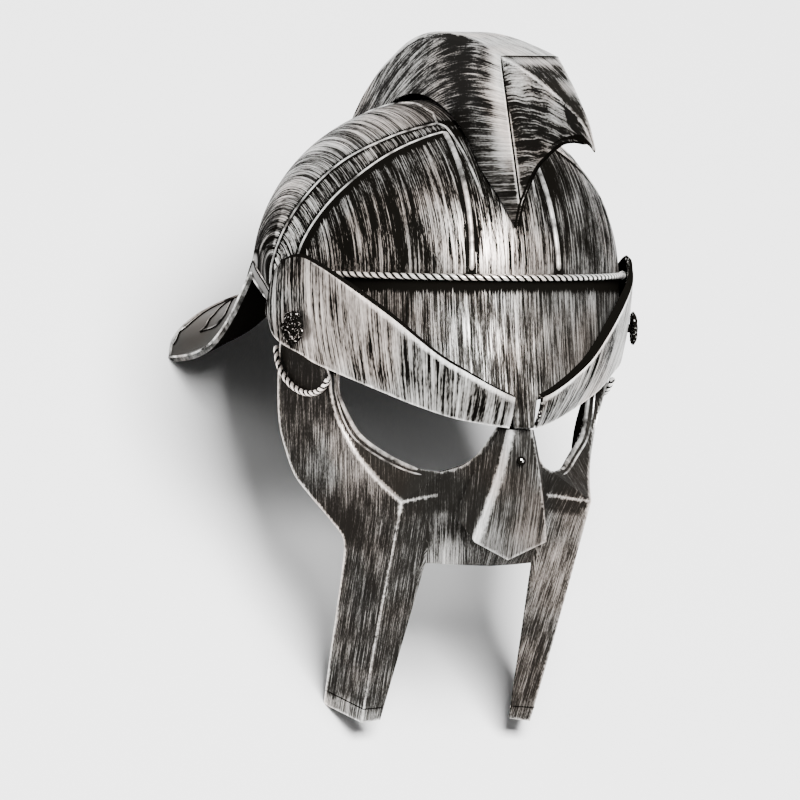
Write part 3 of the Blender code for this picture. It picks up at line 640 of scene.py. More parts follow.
def skull_margins(point):
    """Distances from the bare strips along the side ridges, along the front ridges and under the rope trim."""
    ahead, behind = (line.distance(point, True) for line in SIDE_LINES)
    side = FAR if point.y < SKULL_FORWARD - 30.0 else max(ahead - BARE_FRONT, -ahead - BARE_LINE)
    rear = abs(behind) - BARE_LINE if side < FAR else FAR
    strip = FAR
    if point.y > SKULL_FORWARD and point.z > SKULL_UP - 1.0:
        elevation = math.degrees(math.atan2(point.z - SKULL_UP, point.y - SKULL_FORWARD))
        half = mix(*FRONT_RIDGE_HALF, elevation / FRONT_RIDGE_ELEVATION[1])
        strip = abs(abs(point.x) - half) - BARE_RIDGE + 12.0 * rise(elevation, 50.0, 55.0)
    elif point.y > SKULL_FORWARD:
        strip = SKULL_UP - 1.0 - point.z - BARE_ROPE
    return side, rear, strip


def build_skull(materials):
    sheet = Sheet()
    columns = skull_columns()
    count = len(columns)
    sheet.add_grid(columns, closed=True)
    sheet.add([ellipsoid(0.0, math.pi / 2)] + [column[0] for column in columns],
              [(0, 1 + index, 1 + (index + 1) % count) for index in range(count)])
    sheet.thicken(WALL, (0.0, SKULL_FORWARD, SKULL_UP))
    shell = BVHTree.FromPolygons(sheet.points, sheet.faces)
    beads = [(front_ridge_path(), FRONT_RIDGE_RADIUS, RIDGE)]
    for line in (SIDE_RIDGE_REAR, SIDE_RIDGE_FRONT, CREST_LINE_FRONT, CREST_LINE_REAR):
        beads.append((ridge_path(line, SIDE_RIDGE_STEPS), SIDE_RIDGE_RADIUS, RIDGE))
    for line in (GUARD_GROOVE, LEAF_UPPER, LEAF_LOWER):
        knots = resampled([Vector(point) for point in line], GUARD_LINE_STEPS)
        # Each groove is a black bead; the thinner bright bead shifted beside it is a painted highlight.
        for shift, share, slot in ((Vector(), 1.0, INNER), (Vector(GLINT_SHIFT), GLINT_SHARE, RIDGE)):
            beads.append(([shell.find_nearest(point + shift)[0] for point in knots], GUARD_LINE_RADIUS * share, slot))
    arch = columns[slice(*ARCH_COLUMNS)]
    beads.append((inset_path(arch, ARCH_LIP), ARCH_LINE_RADIUS, INNER))
    # A thin painted highlight line just above the arch's black line.
    beads.append((inset_path(arch, ARCH_LIP + ARCH_GLINT_RISE), ARCH_LINE_RADIUS * GLINT_SHARE, RIDGE))
    edge = [column[-1] + Vector((0, 0, GUARD_EDGE_RISE)) for column in columns[GUARD_START:count // 2 + 1]]
    beads.append((edge, GUARD_EDGE_RADIUS, RIDGE))
    add_beads(sheet, beads, (-1, 1))
    return make_piece("skull_shell", "skull", sheet, materials, stroke=dome_stroke, coat=dome_coat,
                      margins=skull_margins, bevel=0.5)


def inset_path(columns, inset):
    """A line that runs a distance above the lower ends of the columns."""
    path = []
    for column in columns:
        rest = inset
        for low, high in zip(column[::-1], column[-2::-1]):
            step = (high - low).length
            if step >= rest:
                path.append(mix(low, high, rest / step))
                break
            rest -= step
    return path


def bump(value, centre, spread):
    return math.exp(-((value - centre) / spread) ** 2)


def dome_coat(point):
    """The brush went lightly over the crown beside the crest and heavily over the brow; a painted highlight brightens
    the dome's front just above the rope trim, and painted shade darkens the plate between the tops of the brow bands;
    the arches' lips are satin.
    """
    ahead, above = point.y - SKULL_FORWARD, point.z - SKULL_UP
    if point.y < 4.0 and above < 16.0 and ARCH_EDGE.distance(point) < ARCH_LIP:
        return -0.7
    if ahead > 0 and above < -1.0:
        # Painted shade at the foot of the plate, between the tops of the two brow bands.
        painted_shade = 0.22 * bump(point.x, 0.0, 9.0) * rise(point.z, -26.0, -35.0)
        return 0.47 - 0.16 * rise(point.x, -34.0, -48.0) - painted_shade
    if ahead > 0:
        coat = 0.38 if SIDE_LINES[0].distance(point, True) > 0 else 0.50
        # Painted highlight on the dome's front just above the rope trim.
        coat += 0.42 * bump(above, 6.0, 20.0) * bump(point.x, -4.0, 24.0)
        coat += 0.12 * bump(point.x, -30.0, 8.0)
        coat -= 0.26 * bump(point.x, 28.0, 14.0) * bump(point.z, 74.0, 24.0)
        return coat - 0.16 * bump(abs(point.x), 50.0, 12.0) * bump(point.z, 46.0, 18.0)
    if ahead < 0 and above < 12.0:
        return mix(0.36, -1.0, rise(above, 16.0, 6.0) * rise(ahead, -12.0, -28.0))
    coat = 0.53 - 0.30 * rise(point.z, 66.0, 42.0) * (point.y > -80.0)
    return coat - 0.2 * bump(math.hypot(ahead, above), 0.0, 26.0)


def build_rope_band(material):
    length = 2 * math.radians(ROPE_END_AZIMUTH) * (SKULL_HALF_WIDTH + SKULL_HALF_LENGTH) / 2
    steps = int(length / ROPE_RING)
    path, hints, radii = [], [], []
    for step in range(steps + 1):
        azimuth = math.radians(mix(-ROPE_END_AZIMUTH, ROPE_END_AZIMUTH, step / steps))
        sag = ROPE_SAG * math.cos(azimuth / math.radians(ROPE_END_AZIMUTH) * math.pi / 2)
        path.append(ellipsoid(azimuth, -sag / SKULL_RISE, ROPE_RADIUS + GAP))
        hints.append(Vector((math.sin(azimuth), math.cos(azimuth), 0.0)))
        knob = 1.0 - smooth_step((min(step, steps - step) * ROPE_RING - 1.0) / 1.5)
        radii.append(mix(ROPE_RADIUS, ROPE_KNOB_RADIUS, knob))
    return make_rope("rope_trim", "rope_band", path, hints, radii, material)


def crest_seat(half, forward):
    """Height of the dome, plus the gap below the crest, at a side and a forward."""
    across = half / (SKULL_HALF_WIDTH + CREST_SEAT)
    along = (forward - SKULL_FORWARD) / (SKULL_HALF_LENGTH + CREST_SEAT)
    return SKULL_UP + (SKULL_RISE + CREST_SEAT) * math.sqrt(max(1.0 - across ** 2 - along ** 2, 0.0))


def build_crest(materials):
    rows = []
    for section in named(CREST, CREST_COLUMNS):
        section["base_up"] = max(section["base_up"], crest_seat(section["base_half"], section["base_forward"]))
        rows.append(Vector([section[column] for column in CREST_COLUMNS[:-1]]))
    rings = []
    for row in resampled(rows, CREST_STEPS, corner_rows(CREST)):
        top_forward, top_up, top_half, chamfer, base_forward, base_up, base_half = row
        top, base = Vector((0.0, top_forward, top_up)), Vector((0.0, base_forward, base_up))
        shoulder = mix(top_half, base_half, chamfer / (base - top).length) + chamfer * 0.15
        eave = top + (base - top).normalized() * chamfer + Vector((shoulder, 0, 0))
        cut = top + Vector((top_half - chamfer * 0.55, 0, 0))
        half_ring = (between(base + Vector((base_half, 0, 0)), eave, CREST_FLANK_ROWS)
                     + between(eave, cut, CREST_SLOPE_ROWS) + between(cut, top, CREST_TOP_ROWS) + [top])
        rings.append(half_ring + on_side(half_ring[-2::-1], -1))
    sheet = Sheet()
    closed_rings = CREST_FOLD_ROW * CREST_STEPS
    sheet.add_grid([ring + [ring[0]] for ring in rings[:closed_rings + 1]])
    sheet.add_grid(rings[closed_rings:])
    for ring in (rings[0], rings[-1]):
        sheet.add(ring, [tuple(range(len(ring)))])
    tip = CREST[0][0]
    sheet.thicken(CREST_WALL, (0.0, 20.0, 100.0),
                  taper=lambda point: mix(CREST_TIP_SHARE, 1.0, smooth_step((tip - point.y) / CREST_TIP)))
    fold = [Vector(point) for point in CREST_FOLD]
    keel = picked(CREST, CREST_COLUMNS, "base_half", "base_forward", "base_up")[2:CREST_FOLD_ROW + 1]
    add_beads(sheet, [(resampled(line, CREST_SEAM_STEPS, (1,)), CREST_SEAM_RADIUS, INNER) for line in (fold, keel)])
    across = between(fold[0], flipped(fold[0]), CREST_SEAM_STEPS) + [flipped(fold[0])]
    add_bead(sheet, across, CREST_SEAM_RADIUS, INNER)
    return make_piece("crest_shell", "crest", sheet, materials, stroke=crest_stroke, coat=crest_coat,
                      edges=crest_edges, bevel=0.4)


def between(first, second, steps):
    """Points from the first towards the second, without it."""
    return [mix(first, second, step / steps) for step in range(steps)]


def crest_top(forward):
    """Height and half width of the crest's top at a forward."""
    rows = named(CREST, CREST_COLUMNS)[::-1]
    forwards = [row["top_forward"] for row in rows]
    return [float(np.interp(forward, forwards, [row[name] for row in rows])) for name in ("top_up", "top_half")]


def crest_edges(point):
    fold, rim = CREST_LINES
    return (fold.distance(point) - 0.4 if point.y < 77.0 else FAR), rim.distance(point) + 0.4, FAR


def crest_stroke(point, normal):
    """Strokes run from back to front, in flat arcs behind the fold and in waves on the beak."""
    if normal.z > 0.55:
        return point.x, point.y
    if before_fold(point):
        droop = (point.y - 84.0) ** 2 / 260.0
        ripple = 0.5 * math.sin(point.y / 6.1 + point.z / 4.3) + 0.25 * math.sin(point.y / 2.3)
        return 0.62 * (point.z + droop + ripple), 1.1 * point.y
    arched = rise(point.z, 70.0, 105.0)
    return point.z + arched * (point.y - 34.0) ** 2 / 380.0, 0.9 * (point.y + abs(point.x)), 0.3


def before_fold(point):
    """Whether a point lies on the beak."""
    return point.y > 79.0 - 0.14 * max(124.0 - point.z, 0.0)


def crest_coat(point):
    """Heavy on the back's top and beside the fold, patchy on the beak, light over the flanks."""
    up, half = crest_top(point.y)
    on_top = abs(point.x) < 0.9 * half and point.z > up - 2.0
    fold, rim = (line.distance(point) for line in CREST_LINES)
    if before_fold(point):
        if on_top:
            return 0.16 + 0.9 * bump(point.y, 116.0, 9.0) * (point.x > 0) + 0.9 * bump(point.y, 86.0, 6.0)
        coat = 0.30 + 0.55 * bump(rim, 5.0, 5.0) * (point.y < 128.0) + 0.3 * bump(point.z, 72.0, 6.0)
        coat += 0.35 * bump(point.y, 118.0, 9.0) * bump(point.z, 98.0, 7.0)
        coat += 0.3 * bump(point.y, 88.0, 7.0) * bump(point.z, 108.0, 8.0)
        return coat - 0.5 * bump(point.y, 134.0, 8.0) * bump(rim, 2.0, 5.0)
    if on_top:
        return 1.0
    coat = 0.40 + 0.95 * bump(fold, 6.0, 9.0) * rise(point.z, 62.0, 82.0)
    return coat - 0.42 * bump(point.y, 26.0, 13.0) - 0.25 * bump(rim, 0.0, 5.0) * (point.y < 45.0)


def build_brow_band(side, materials):
    columns = []
    for row in resampled(picked(BROW, BROW_COLUMNS, *BROW_COLUMNS), BROW_STEPS):
        top, low, flange = Vector(row[0:3]), Vector(row[3:6]), row[6]
        out = Vector((top.x, top.y - SKULL_FORWARD, 0.0)).normalized()
        column = between(top - out * flange + Vector((0, 0, 1.6)), top, BROW_FLANGE_ROWS)
        for step in range(BROW_FACE_ROWS + 1):
            share = step / BROW_FACE_ROWS
            column.append(mix(top, low, share) + out * BROW_BULGE * math.sin(math.pi * share))
        columns.append(on_side(column, side))
    sheet = Sheet()
    # The flange is left bare black: the brush missed this pocket, and the black is also painted shade for the shadow
    # that falls in it.
    sheet.add_grid([column[:BROW_FLANGE_ROWS + 1] for column in columns], slot=INNER)
    sheet.add_grid([column[BROW_FLANGE_ROWS:] for column in columns])
    sheet.thicken(BROW_WALL, (0.0, SKULL_FORWARD, 0.0))
    upper = Line([column[BROW_FLANGE_ROWS] for column in columns], mirrored=False)
    lower = Line([column[-1] for column in columns], mirrored=False)

    def brow_edges(point):
        rounded = 2.6 * rise(point.y, 14.0, 2.0)
        bevel = 2.2 * rise(point.y, 24.0, 48.0)
        return upper.distance(point) + 1.2 + rounded - bevel, lower.distance(point) + 0.9, FAR

    return make_piece("brow_plate_" + tag(side), "brow_band_" + tag(side), sheet, materials, stroke=band_stroke,
                      coat=brow_coat, edges=brow_edges, bevel=0.35)


def band_stroke(point, normal):
    """Broad upright strokes, counted round the skull's axis."""
    return 55.0 * math.atan2(point.x, point.y - SKULL_FORWARD), 0.7 * point.z


def facet_stroke(point, normal):
    """Fine strokes: upright on the nose and the upper lip, and down the length of each cheek."""
    lean = 0.4 * min(abs(point.x) / 6.0, 1.0) * (point.y - 44.0)
    taper = 0.165 * min(point.z + 88.0, 0.0) * (abs(point.x) > 27.5)
    return 2.2 * math.copysign(abs(point.x) - lean + taper, point.x), 1.4 * point.z


def nose_stroke(point, normal):
    """Fine upright strokes, counted along the wider of each facet's two level extents."""
    return 1.5 * (point.y if abs(normal.x) > abs(normal.y) else point.x), 0.8 * point.z


def brow_coat(point):
    """Heavily brushed, but for the rounded end and a worn spot behind the rosette."""
    coat = 0.76 - 0.34 * rise(point.y, 10.0, -12.0) - 0.15 * bump(point.z, 32.0, 9.0) * (point.y < 16.0)
    return coat - 0.16 * rise(point.y, 38.0, 52.0)


def rib_points(rows, columns, *names):
    """The named points of each rib."""
    return list(zip(*(picked(rows, columns, name + "_side", name + "_forward", name + "_up") for name in names)))


def fine_patch(ribs, steps, across, corners=()):
    """Columns of points: ribs resampled along the patch by splines and across it by straight lines."""
    columns = []
    for points in zip(*(resampled(line, steps, corners) for line in zip(*ribs))):
        column = [point for pair in zip(points, points[1:]) for point in between(*pair, across)]
        columns.append(column + [points[-1]])
    return columns


def build_face_mask(materials):
    eye_patch = fine_patch(rib_points(EYE_RIBS, CHEEK_COLUMNS, "back", "ridge", "inner"), MASK_STEPS, MASK_ACROSS)
    cheek_patch = fine_patch(rib_points(CHEEK_RIBS, CHEEK_COLUMNS, "back", "ridge", "inner"), MASK_STEPS, MASK_ACROSS,
                             corners=(2,))
    nose_patch = fine_patch(rib_points(NOSE, NOSE_COLUMNS, "rim", "mid", "centre"), MASK_STEPS, MASK_ACROSS,
                            corners=(NOSE_CORNER, NOSE_CORNER + 1))
    nose_start = NOSE_CORNER * MASK_STEPS
    sheet = Sheet()
    for side in (1, -1):
        for patch in (eye_patch, cheek_patch, nose_patch):
            sheet.add_grid([on_side(column, side) for column in patch])
        link = [column[0] for column in nose_patch[nose_start:nose_start + MASK_STEPS + 1]]
        add_corner(sheet, *(on_side(line, side) for line in (eye_patch[-1][MASK_ACROSS:], cheek_patch[0][MASK_ACROSS:],
                                                             link)))
    sheet.thicken(WALL, (0.0, SKULL_FORWARD, -40.0))
    back = Line([column[0] for column in eye_patch + cheek_patch])
    ridge = Line([column[MASK_ACROSS] for column in eye_patch[MASK_STEPS:] + cheek_patch])
    inner = Line([column[-1] for column in eye_patch])
    brink = Line([eye_patch[-1][MASK_ACROSS], cheek_patch[0][-1]])
    nose = Line([column[0] for column in nose_patch[:nose_start + 1]])
    foot = Line([cheek_patch[-1][place] for place in (0, MASK_ACROSS, -1)])
    beads = []
    for inset, radius, first, last in EYE_BEADS:
        path = []
        for column in eye_patch[int(first * MASK_STEPS):int(last * MASK_STEPS) + 1]:
            path.append(column[-1] + (column[MASK_ACROSS] - column[-1]).normalized() * inset)
        beads.append((path, radius, RIDGE))
    add_beads(sheet, beads + [(cheek_patch[TIP_COLUMN], TIP_SEAM_RADIUS, INNER)])

    def mask_edges(point):
        return (min(back.distance(point) + 0.3, foot.distance(point) + 1.0),
                ridge.distance(point) + 0.2 + 0.9 * (point.z < -88.0),
                min(brink.distance(point) + 0.6, nose.distance(point) + 0.8, inner.distance(point) + 1.0))

    return make_piece("face_plate", "face_mask", sheet, materials, stroke=facet_stroke, coat=mask_coat,
                      edges=mask_edges, flat_angle=22.0, bevel=0.35)


def add_bead(sheet, path, radius, slot=RIDGE):
    """A raised line, half sunk in the shell: bright where the brush caught it or where it is a painted highlight, or a
    black seam.
    """
    centre = Vector((0.0, SKULL_FORWARD, -20.0))
    hints = [(point - centre).normalized() for point in path]
    radii = [radius * (0.4 if index in (0, len(path) - 1) else 1.0) for index in range(len(path))]
    sheet.add(*tube(path, hints, radii, BEAD_SIDES), slot=slot)


def add_beads(sheet, beads, sides=(1, -1)):
    """Adds each bead, as its path, radius and slot, on both sides."""
    for side in sides:
        for path, radius, slot in beads:
            add_bead(sheet, on_side(path, side), radius, slot)


def add_corner(sheet, upper, lower, link):
    """The three-sided facet between two fans of points from one apex and the link line of their ends."""
    points, faces = [upper[0]], []
    for step in range(1, len(upper)):
        above, here = len(points) - step, len(points)
        for place in range(step + 1):
            share = place / step
            if step < len(upper) - 1:
                points.append(mix(upper[step], lower[step], share))
            else:
                along = share * (len(link) - 1)
                index = min(int(along), len(link) - 2)
                points.append(mix(link[index], link[index + 1], along - index))
        for place in range(step):
            faces.append((above + place, here + place, here + place + 1))
            if place < step - 1:
                faces.append((above + place, here + place + 1, above + place + 1))
    sheet.add(points, faces)


def mask_coat(point):
    """Thin on the wearer's right cheek, heavier on the left one and over the upper lip, bare under the eyes."""
    ribs = named(EYE_RIBS, CHEEK_COLUMNS)[::-1]
    ridge = float(np.interp(point.z, [rib["ridge_up"] for rib in ribs], [rib["ridge_side"] for rib in ribs]))
    if point.z > -85.0 and 21.0 < abs(point.x) < ridge - 0.6 and point.y < 47.0:
        return 0.12
    if abs(point.x) < 28.5:
        coat = 0.24 + 0.16 * rise(point.z, -97.0, -107.0)
        coat += 0.45 * rise(point.z, -93.0, -101.0) * bump(point.x, -20.0, 7.0)
        return coat + 0.40 * bump(point.x, -25.0, 3.0) * bump(point.z, -86.0, 9.0)
    if point.x > 0:
        return 0.58 - 0.22 * rise(point.z, -118.0, -148.0) - 0.4 * (point.y < 20.0) * (point.z > -70.0)
    coat = 0.30 + 0.30 * bump(point.z, -62.0, 16.0) * rise(point.y, -22.0, -4.0)
    disc = math.hypot((point.y - TEMPLE_ROPE_CENTRE[0]) / TEMPLE_ROPE_RADII[0],
                      (point.z - TEMPLE_ROPE_CENTRE[1]) / TEMPLE_ROPE_RADII[1]) < 1.0
    coat -= 0.10 * (point.z > -40.0) + 0.16 * disc
    coat += 0.35 * (point.z < 0.55 * (abs(point.x) - 43.0) - 175.0)
    return coat - 0.30 * bump(point.z, -91.0, 8.0) * (point.y < 10.0)


def build_nasal(materials):
    full = [[back, front, flipped(front), flipped(back)]
            for back, front in rib_points(NASAL, NASAL_COLUMNS, "back", "front")]
    columns = fine_patch(full, NASAL_STEPS, NASAL_ACROSS)
    sheet = Sheet()
    sheet.add_grid(columns)
    brow = columns[-1][NASAL_ACROSS:2 * NASAL_ACROSS + 1]
    tip = Vector(NASAL_TIP)
    rings = [[mix(point, tip, step / NASAL_TIP_ROWS) for point in brow] for step in range(NASAL_TIP_ROWS)]
    sheet.add_grid(rings)
    sheet.add(rings[-1] + [tip], [(index, index + 1, len(brow)) for index in range(len(brow) - 1)])
    sheet.thicken(WALL, (0.0, 30.0, -75.0))
    edge = Line([column[NASAL_ACROSS] for column in columns])
    tail = Line([columns[-1][NASAL_ACROSS], tip])

    def nasal_edges(point):
        return edge.distance(point) + (-1.0 if point.x < 0 else 0.9), tail.distance(point) + 0.9, FAR

    return make_piece("nose_guard", "nasal", sheet, materials, stroke=nose_stroke, coat=nasal_coat,
                      edges=nasal_edges, flat_angle=22.0, bevel=0.35)


def nasal_coat(point):
    """The front facet is brushed and the side facets are left almost bare."""
    half = mix(5.4, 17.9, rise(point.z, -47.2, -99.2)) + 0.6
    return 0.16 if abs(point.x) > half else 0.44 + 0.24 * rise(point.z, -86.0, -100.0)


def turned(profile, sides, centre, axis, shape=None):
    """Points and faces of a solid turned about an axis: profile rows are (radius, height); shape bends its skin."""
    axis = axis.normalized()
    across = axis.cross(Vector((0, 0, 1))).normalized()
    other = axis.cross(across)
    points = []
    for radius, height in profile:
        for step in range(sides):
            angle = 2 * math.pi * step / sides
            lift, swell = shape(angle, radius, height) if shape else (0.0, 1.0)
            points.append(centre + axis * (height + lift)
                          + (across * math.cos(angle) + other * math.sin(angle)) * radius * swell)
    return points, ring_faces(len(profile), sides)


def domed(foot, radius, start, height, rings, tip):
    """Profile rows for turned(): those of the foot, then a quarter ellipse that ends in a small tip."""
    angles = [ring / rings * math.pi / 2 for ring in range(1, rings + 1)]
    return [*foot, *((max(radius * math.cos(angle), tip), mix(start, height, math.sin(angle))) for angle in angles)]


def temple_frame(side):
    """Centre of the rivet head's seat on the brow band, and the direction that it faces."""
    half_width, half_length = SKULL_HALF_WIDTH + RIVET_SEAT, SKULL_HALF_LENGTH + RIVET_SEAT
    lean = math.asin(-SKULL_FORWARD / half_length)
    seat = Vector((side * half_width * math.cos(lean), 0.0, 0.0))
    return seat, Vector((side * math.cos(lean) / half_width, math.sin(lean) / half_length, 0.0)).normalized()


def rosette(angle, radius, height):
    """Petals round a domed heart: how far they lift and swell the head's skin."""
    if height < 1.5:
        return 0.0, 1.0
    share = radius / RIVET_DOME[0]
    petal = abs(math.sin(ROSETTE_PETALS * angle / 2))
    lift = -0.9 * (1.0 - petal ** 0.5) * rise(share, 0.3, 0.6) - 0.8 * bump(share, 0.38, 0.07)
    swell = 1.0 - 0.10 * (1.0 - petal ** 0.6) * rise(share, 0.6, 0.9)
    return lift, swell


def build_temple_rivet(side, material):
    sheet = Sheet()
    sheet.add(*turned(domed(RIVET_FOOT, *RIVET_DOME), RIVET_SIDES, *temple_frame(side), rosette))
    return make_piece("rosette_" + tag(side), "temple_rivet_" + tag(side), sheet, [material],
                      flat_angle=50.0)


def build_nasal_rivet(material):
    profile = domed(NASAL_RIVET_FOOT, *NASAL_RIVET_DOME)
    sheet = Sheet()
    sheet.add(*turned(profile, NASAL_RIVET_SIDES, Vector((0.0, *NASAL_RIVET)), Vector(NASAL_RIVET_AXIS)))
    # Silver on the stud's top: partly where the brush caught it, partly a painted highlight.
    coats = [0.62 * rise(height, 1.25, 1.55) for _, height in profile for _ in range(NASAL_RIVET_SIDES)]
    return make_piece("nose_stud", "nasal_rivet", sheet, [material], coats=coats, flat_angle=50.0)


def on_side_facet(ribs, forward, up):
    """Point and outward normal of the mask's side facet at a forward and an up."""
    for upper, lower in zip(ribs, ribs[1:]):
        share_low = (upper[0].z - up) / max(upper[0].z - lower[0].z, 1e-6)
        if share_low <= 1.0:
            break
    back, ridge = mix(upper[0], lower[0], share_low), mix(upper[1], lower[1], share_low)
    across = (forward - back.y) / (ridge.y - back.y)
    point = mix(back, ridge, across)
    down = mix(lower[0] - upper[0], lower[1] - upper[1], across)
    normal = (ridge - back).cross(down).normalized()
    if normal.x < 0:
        normal = -normal
    point.z = up
    return point, normal


def build_temple_rope(side, material):
    ribs = rib_points(EYE_RIBS, CHEEK_COLUMNS, "back", "ridge")
    path, hints = [], []
    for step in range(TEMPLE_ROPE_STEPS + 1):
        angle = math.radians(mix(*TEMPLE_ROPE_ANGLES, step / TEMPLE_ROPE_STEPS))
        point, normal = on_side_facet(ribs, TEMPLE_ROPE_CENTRE[0] + TEMPLE_ROPE_RADII[0] * math.cos(angle),
                                      TEMPLE_ROPE_CENTRE[1] + TEMPLE_ROPE_RADII[1] * math.sin(angle))
        path.append(point + normal * (ROPE_RADIUS + GAP))
        hints.append(normal)
    return make_rope("temple_trim_" + tag(side), "temple_rope_" + tag(side), on_side(path, side),
                     on_side(hints, side), [ROPE_RADIUS] * len(path), material)


class Nodes:
    """Short names for the few kinds of node that the materials use."""

    def __init__(self, name):
        self.material = bpy.data.materials.new(name)
        self.material.use_nodes = True
        self.tree = self.material.node_tree
        self.shader = self.tree.nodes["Principled BSDF"]

    def put(self, value, socket):
        if isinstance(value, bpy.types.NodeSocket):
            self.tree.links.new(value, socket)
        else:
            socket.default_value = value

    def node(self, kind, inputs, **settings):
        """A new node with its settings and its inputs, listed in order or by name."""
        node = self.tree.nodes.new("ShaderNode" + kind)
        for name, setting in settings.items():
            setattr(node, name, setting)
        for key, value in inputs.items() if isinstance(inputs, dict) else enumerate(inputs):
            self.put(value, node.inputs[key])
        return node

    def attribute(self, name, output):
        return self.node("Attribute", (), attribute_name=name).outputs[output]

    def math(self, operation, *values):
        return self.node("Math", values, operation=operation).outputs[0]

    def parts(self, vector):
        return self.node("SeparateXYZ", (vector,)).outputs

    def least(self, vector):
        first, second, third = self.parts(vector)
        return self.math("MINIMUM", self.math("MINIMUM", first, second), third)

    def stretched(self, vector, scale, shift=(0.0, 0.0, 0.0)):
        return self.node("Mapping", {"Vector": vector, "Scale": scale, "Location": shift}).outputs[0]

    def noise(self, vector, detail=2.0, roughness=0.5, dimensions="2D"):
        return self.node("TexNoise", {"Vector": vector, "Scale": 1.0, "Detail": detail, "Roughness": roughness},
                         noise_dimensions=dimensions).outputs["Fac"]

    def streaks(self, stroke, width, length, shift=(0.0, 0.0), detail=2.0, roughness=0.5):
        """Noise drawn out along the strokes: its width and length are in millimetres."""
        return self.noise(self.stretched(stroke, (1 / width, 1 / length, 0.0), (*shift, 0.0)), detail, roughness)

    def grain(self, size, detail=3.0, roughness=0.6):
        """Noise of one size in millimetres, all over the object."""
        place = self.stretched(self.node("TexCoord", ()).outputs["Object"], (1 / MM,) * 3)
        return self.noise(self.stretched(place, (1 / size,) * 3), detail, roughness, "3D")

    def ramp(self, value, low, high, start=0.0, end=1.0, smooth=True):
        return self.node("MapRange", (value, low, high, start, end),
                         interpolation_type="SMOOTHSTEP" if smooth else "LINEAR").outputs[0]

    def blend(self, share, first, second, how="MIX"):
        node = self.node("Mix", (), data_type="RGBA", blend_type=how)
        sockets = {socket.identifier: socket for socket in node.inputs}
        self.put(share, sockets["Factor_Float"])
        for colour, socket in ((first, "A_Color"), (second, "B_Color")):
            self.put((*colour, 1.0) if isinstance(colour, tuple) else colour, sockets[socket])
        return next(socket for socket in node.outputs if socket.identifier == "Result_Color")

    def bump(self, height, depth):
        node = self.node("Bump", {"Strength": 1.0, "Distance": depth * MM, "Height": height})
        self.put(node.outputs["Normal"], self.shader.inputs["Normal"])


def plain_material(name, colour, roughness):
    nodes = Nodes(name)
    for value, socket in (((*colour, 1.0), "Base Color"), (roughness, "Roughness"), (0.0, "Specular IOR Level")):
        nodes.put(value, nodes.shader.inputs[socket])
    return nodes.material


def silver_over_black(nodes, silver, thick, satin=0.0):
    """Finishes a material: silver is where the brush left its colour, thick how thickly, and satin where it is even."""
    thick = nodes.ramp(thick, 0.0, 1.0, smooth=False)
    metal = nodes.blend(satin, nodes.blend(thick, SILVER_THIN, SILVER_THICK), SATIN)
    warmth = nodes.blend(nodes.ramp(nodes.grain(WARM_SIZE, 2.0, 0.5), 0.42, 0.62), (1.0, 1.0, 1.0), WARM)
    metal = nodes.blend(1.0, metal, warmth, "MULTIPLY")
    for value, socket in (
        (nodes.blend(silver, BLACK, metal), "Base Color"),
        (nodes.ramp(silver, 0.0, 1.0, *METALLIC, smooth=False), "Metallic"),
        (nodes.ramp(silver, 0.0, 1.0, *ROUGHNESS, smooth=False), "Roughness"),
        (SHINE, "Specular IOR Level"),
    ):
        nodes.put(value, nodes.shader.inputs[socket])


def brushed_material(name, crispness, depth, haze=0.0, blotches=1.0):
    """Silver dragged over the black shell in long strokes, broken up where the brush ran dry.

    A stroke ends within crispness of its level, and is as bright as it gets where its level reaches depth. Haze is
    the thin silver left between the strokes, and blotches is how much their density varies.
    """
    nodes = Nodes(name)
    stroke = nodes.attribute("stroke", "Vector")
    fine = nodes.streaks(stroke, 0.55, 20.0, detail=3.0, roughness=0.6)
    wide = nodes.streaks(stroke, 1.9, 50.0, (37.0, 11.0), detail=1.0)
    broken = nodes.streaks(stroke, 0.5, 2.0, (91.0, 5.0))
    patch = nodes.streaks(stroke, 9.0, 20.0, (13.0, 71.0))
    noises = ((fine, 0.80), (wide, 0.40 * blotches), (broken, 0.25), (patch, 0.35 * blotches))
    level = -0.5 * sum(weight for _, weight in noises)
    for noise, weight in noises:
        level = nodes.math("MULTIPLY_ADD", noise, weight, level)
    level = nodes.math("MULTIPLY_ADD", nodes.attribute("coat", "Fac"), 0.40, level)
    level = nodes.math("ADD", level, -0.20)
    # The brush leaves a ragged bare strip at the margins and a ragged bright one along the edges.
    missed = nodes.math("MULTIPLY_ADD", nodes.math("SUBTRACT", fine, 0.5), 9.0,
                        nodes.least(nodes.attribute("margins", "Vector")))
    level = nodes.math("ADD", level, nodes.ramp(missed, -0.4, 2.0, -0.5, 0.0))
    caught = nodes.math("MULTIPLY_ADD", nodes.math("SUBTRACT", nodes.grain(1.6), 0.5), 3.0,
                        nodes.least(nodes.attribute("edges", "Vector")))
    level = nodes.math("ADD", level, nodes.ramp(caught, 0.0, 2.4, 0.5, 0.0))
    satin = nodes.ramp(nodes.attribute("coat", "Fac"), -0.9, -0.3, 1.0, 0.0)
    spread = nodes.math("MULTIPLY_ADD", nodes.parts(stroke)[2], 0.14, crispness)
    silver = nodes.ramp(level, nodes.math("MULTIPLY", spread, -1.0), spread)
    silver = nodes.math("MAXIMUM", nodes.math("MAXIMUM", silver, haze), satin)
    silver_over_black(nodes, silver, nodes.math("DIVIDE", level, depth), satin)
    nodes.bump(nodes.math("MULTIPLY_ADD", fine, 0.5, silver), 0.05)
    return nodes.material


def touched_material(name, low, high, wear=1.2, even=None, size=1.1):
    """Raised trims and edges: the brush caught their tops; coat says how high a place lies, unless it is even."""
    nodes = Nodes(name)
    worn = nodes.grain(size)
    level = nodes.math("MULTIPLY_ADD", nodes.math("SUBTRACT", worn, 0.5), wear,
                       nodes.attribute("coat", "Fac") if even is None else even)
    silver = nodes.ramp(level, low, high)
    silver_over_black(nodes, silver, nodes.math("MULTIPLY", silver, 0.9))
    nodes.bump(worn, 0.04)
    return nodes.material


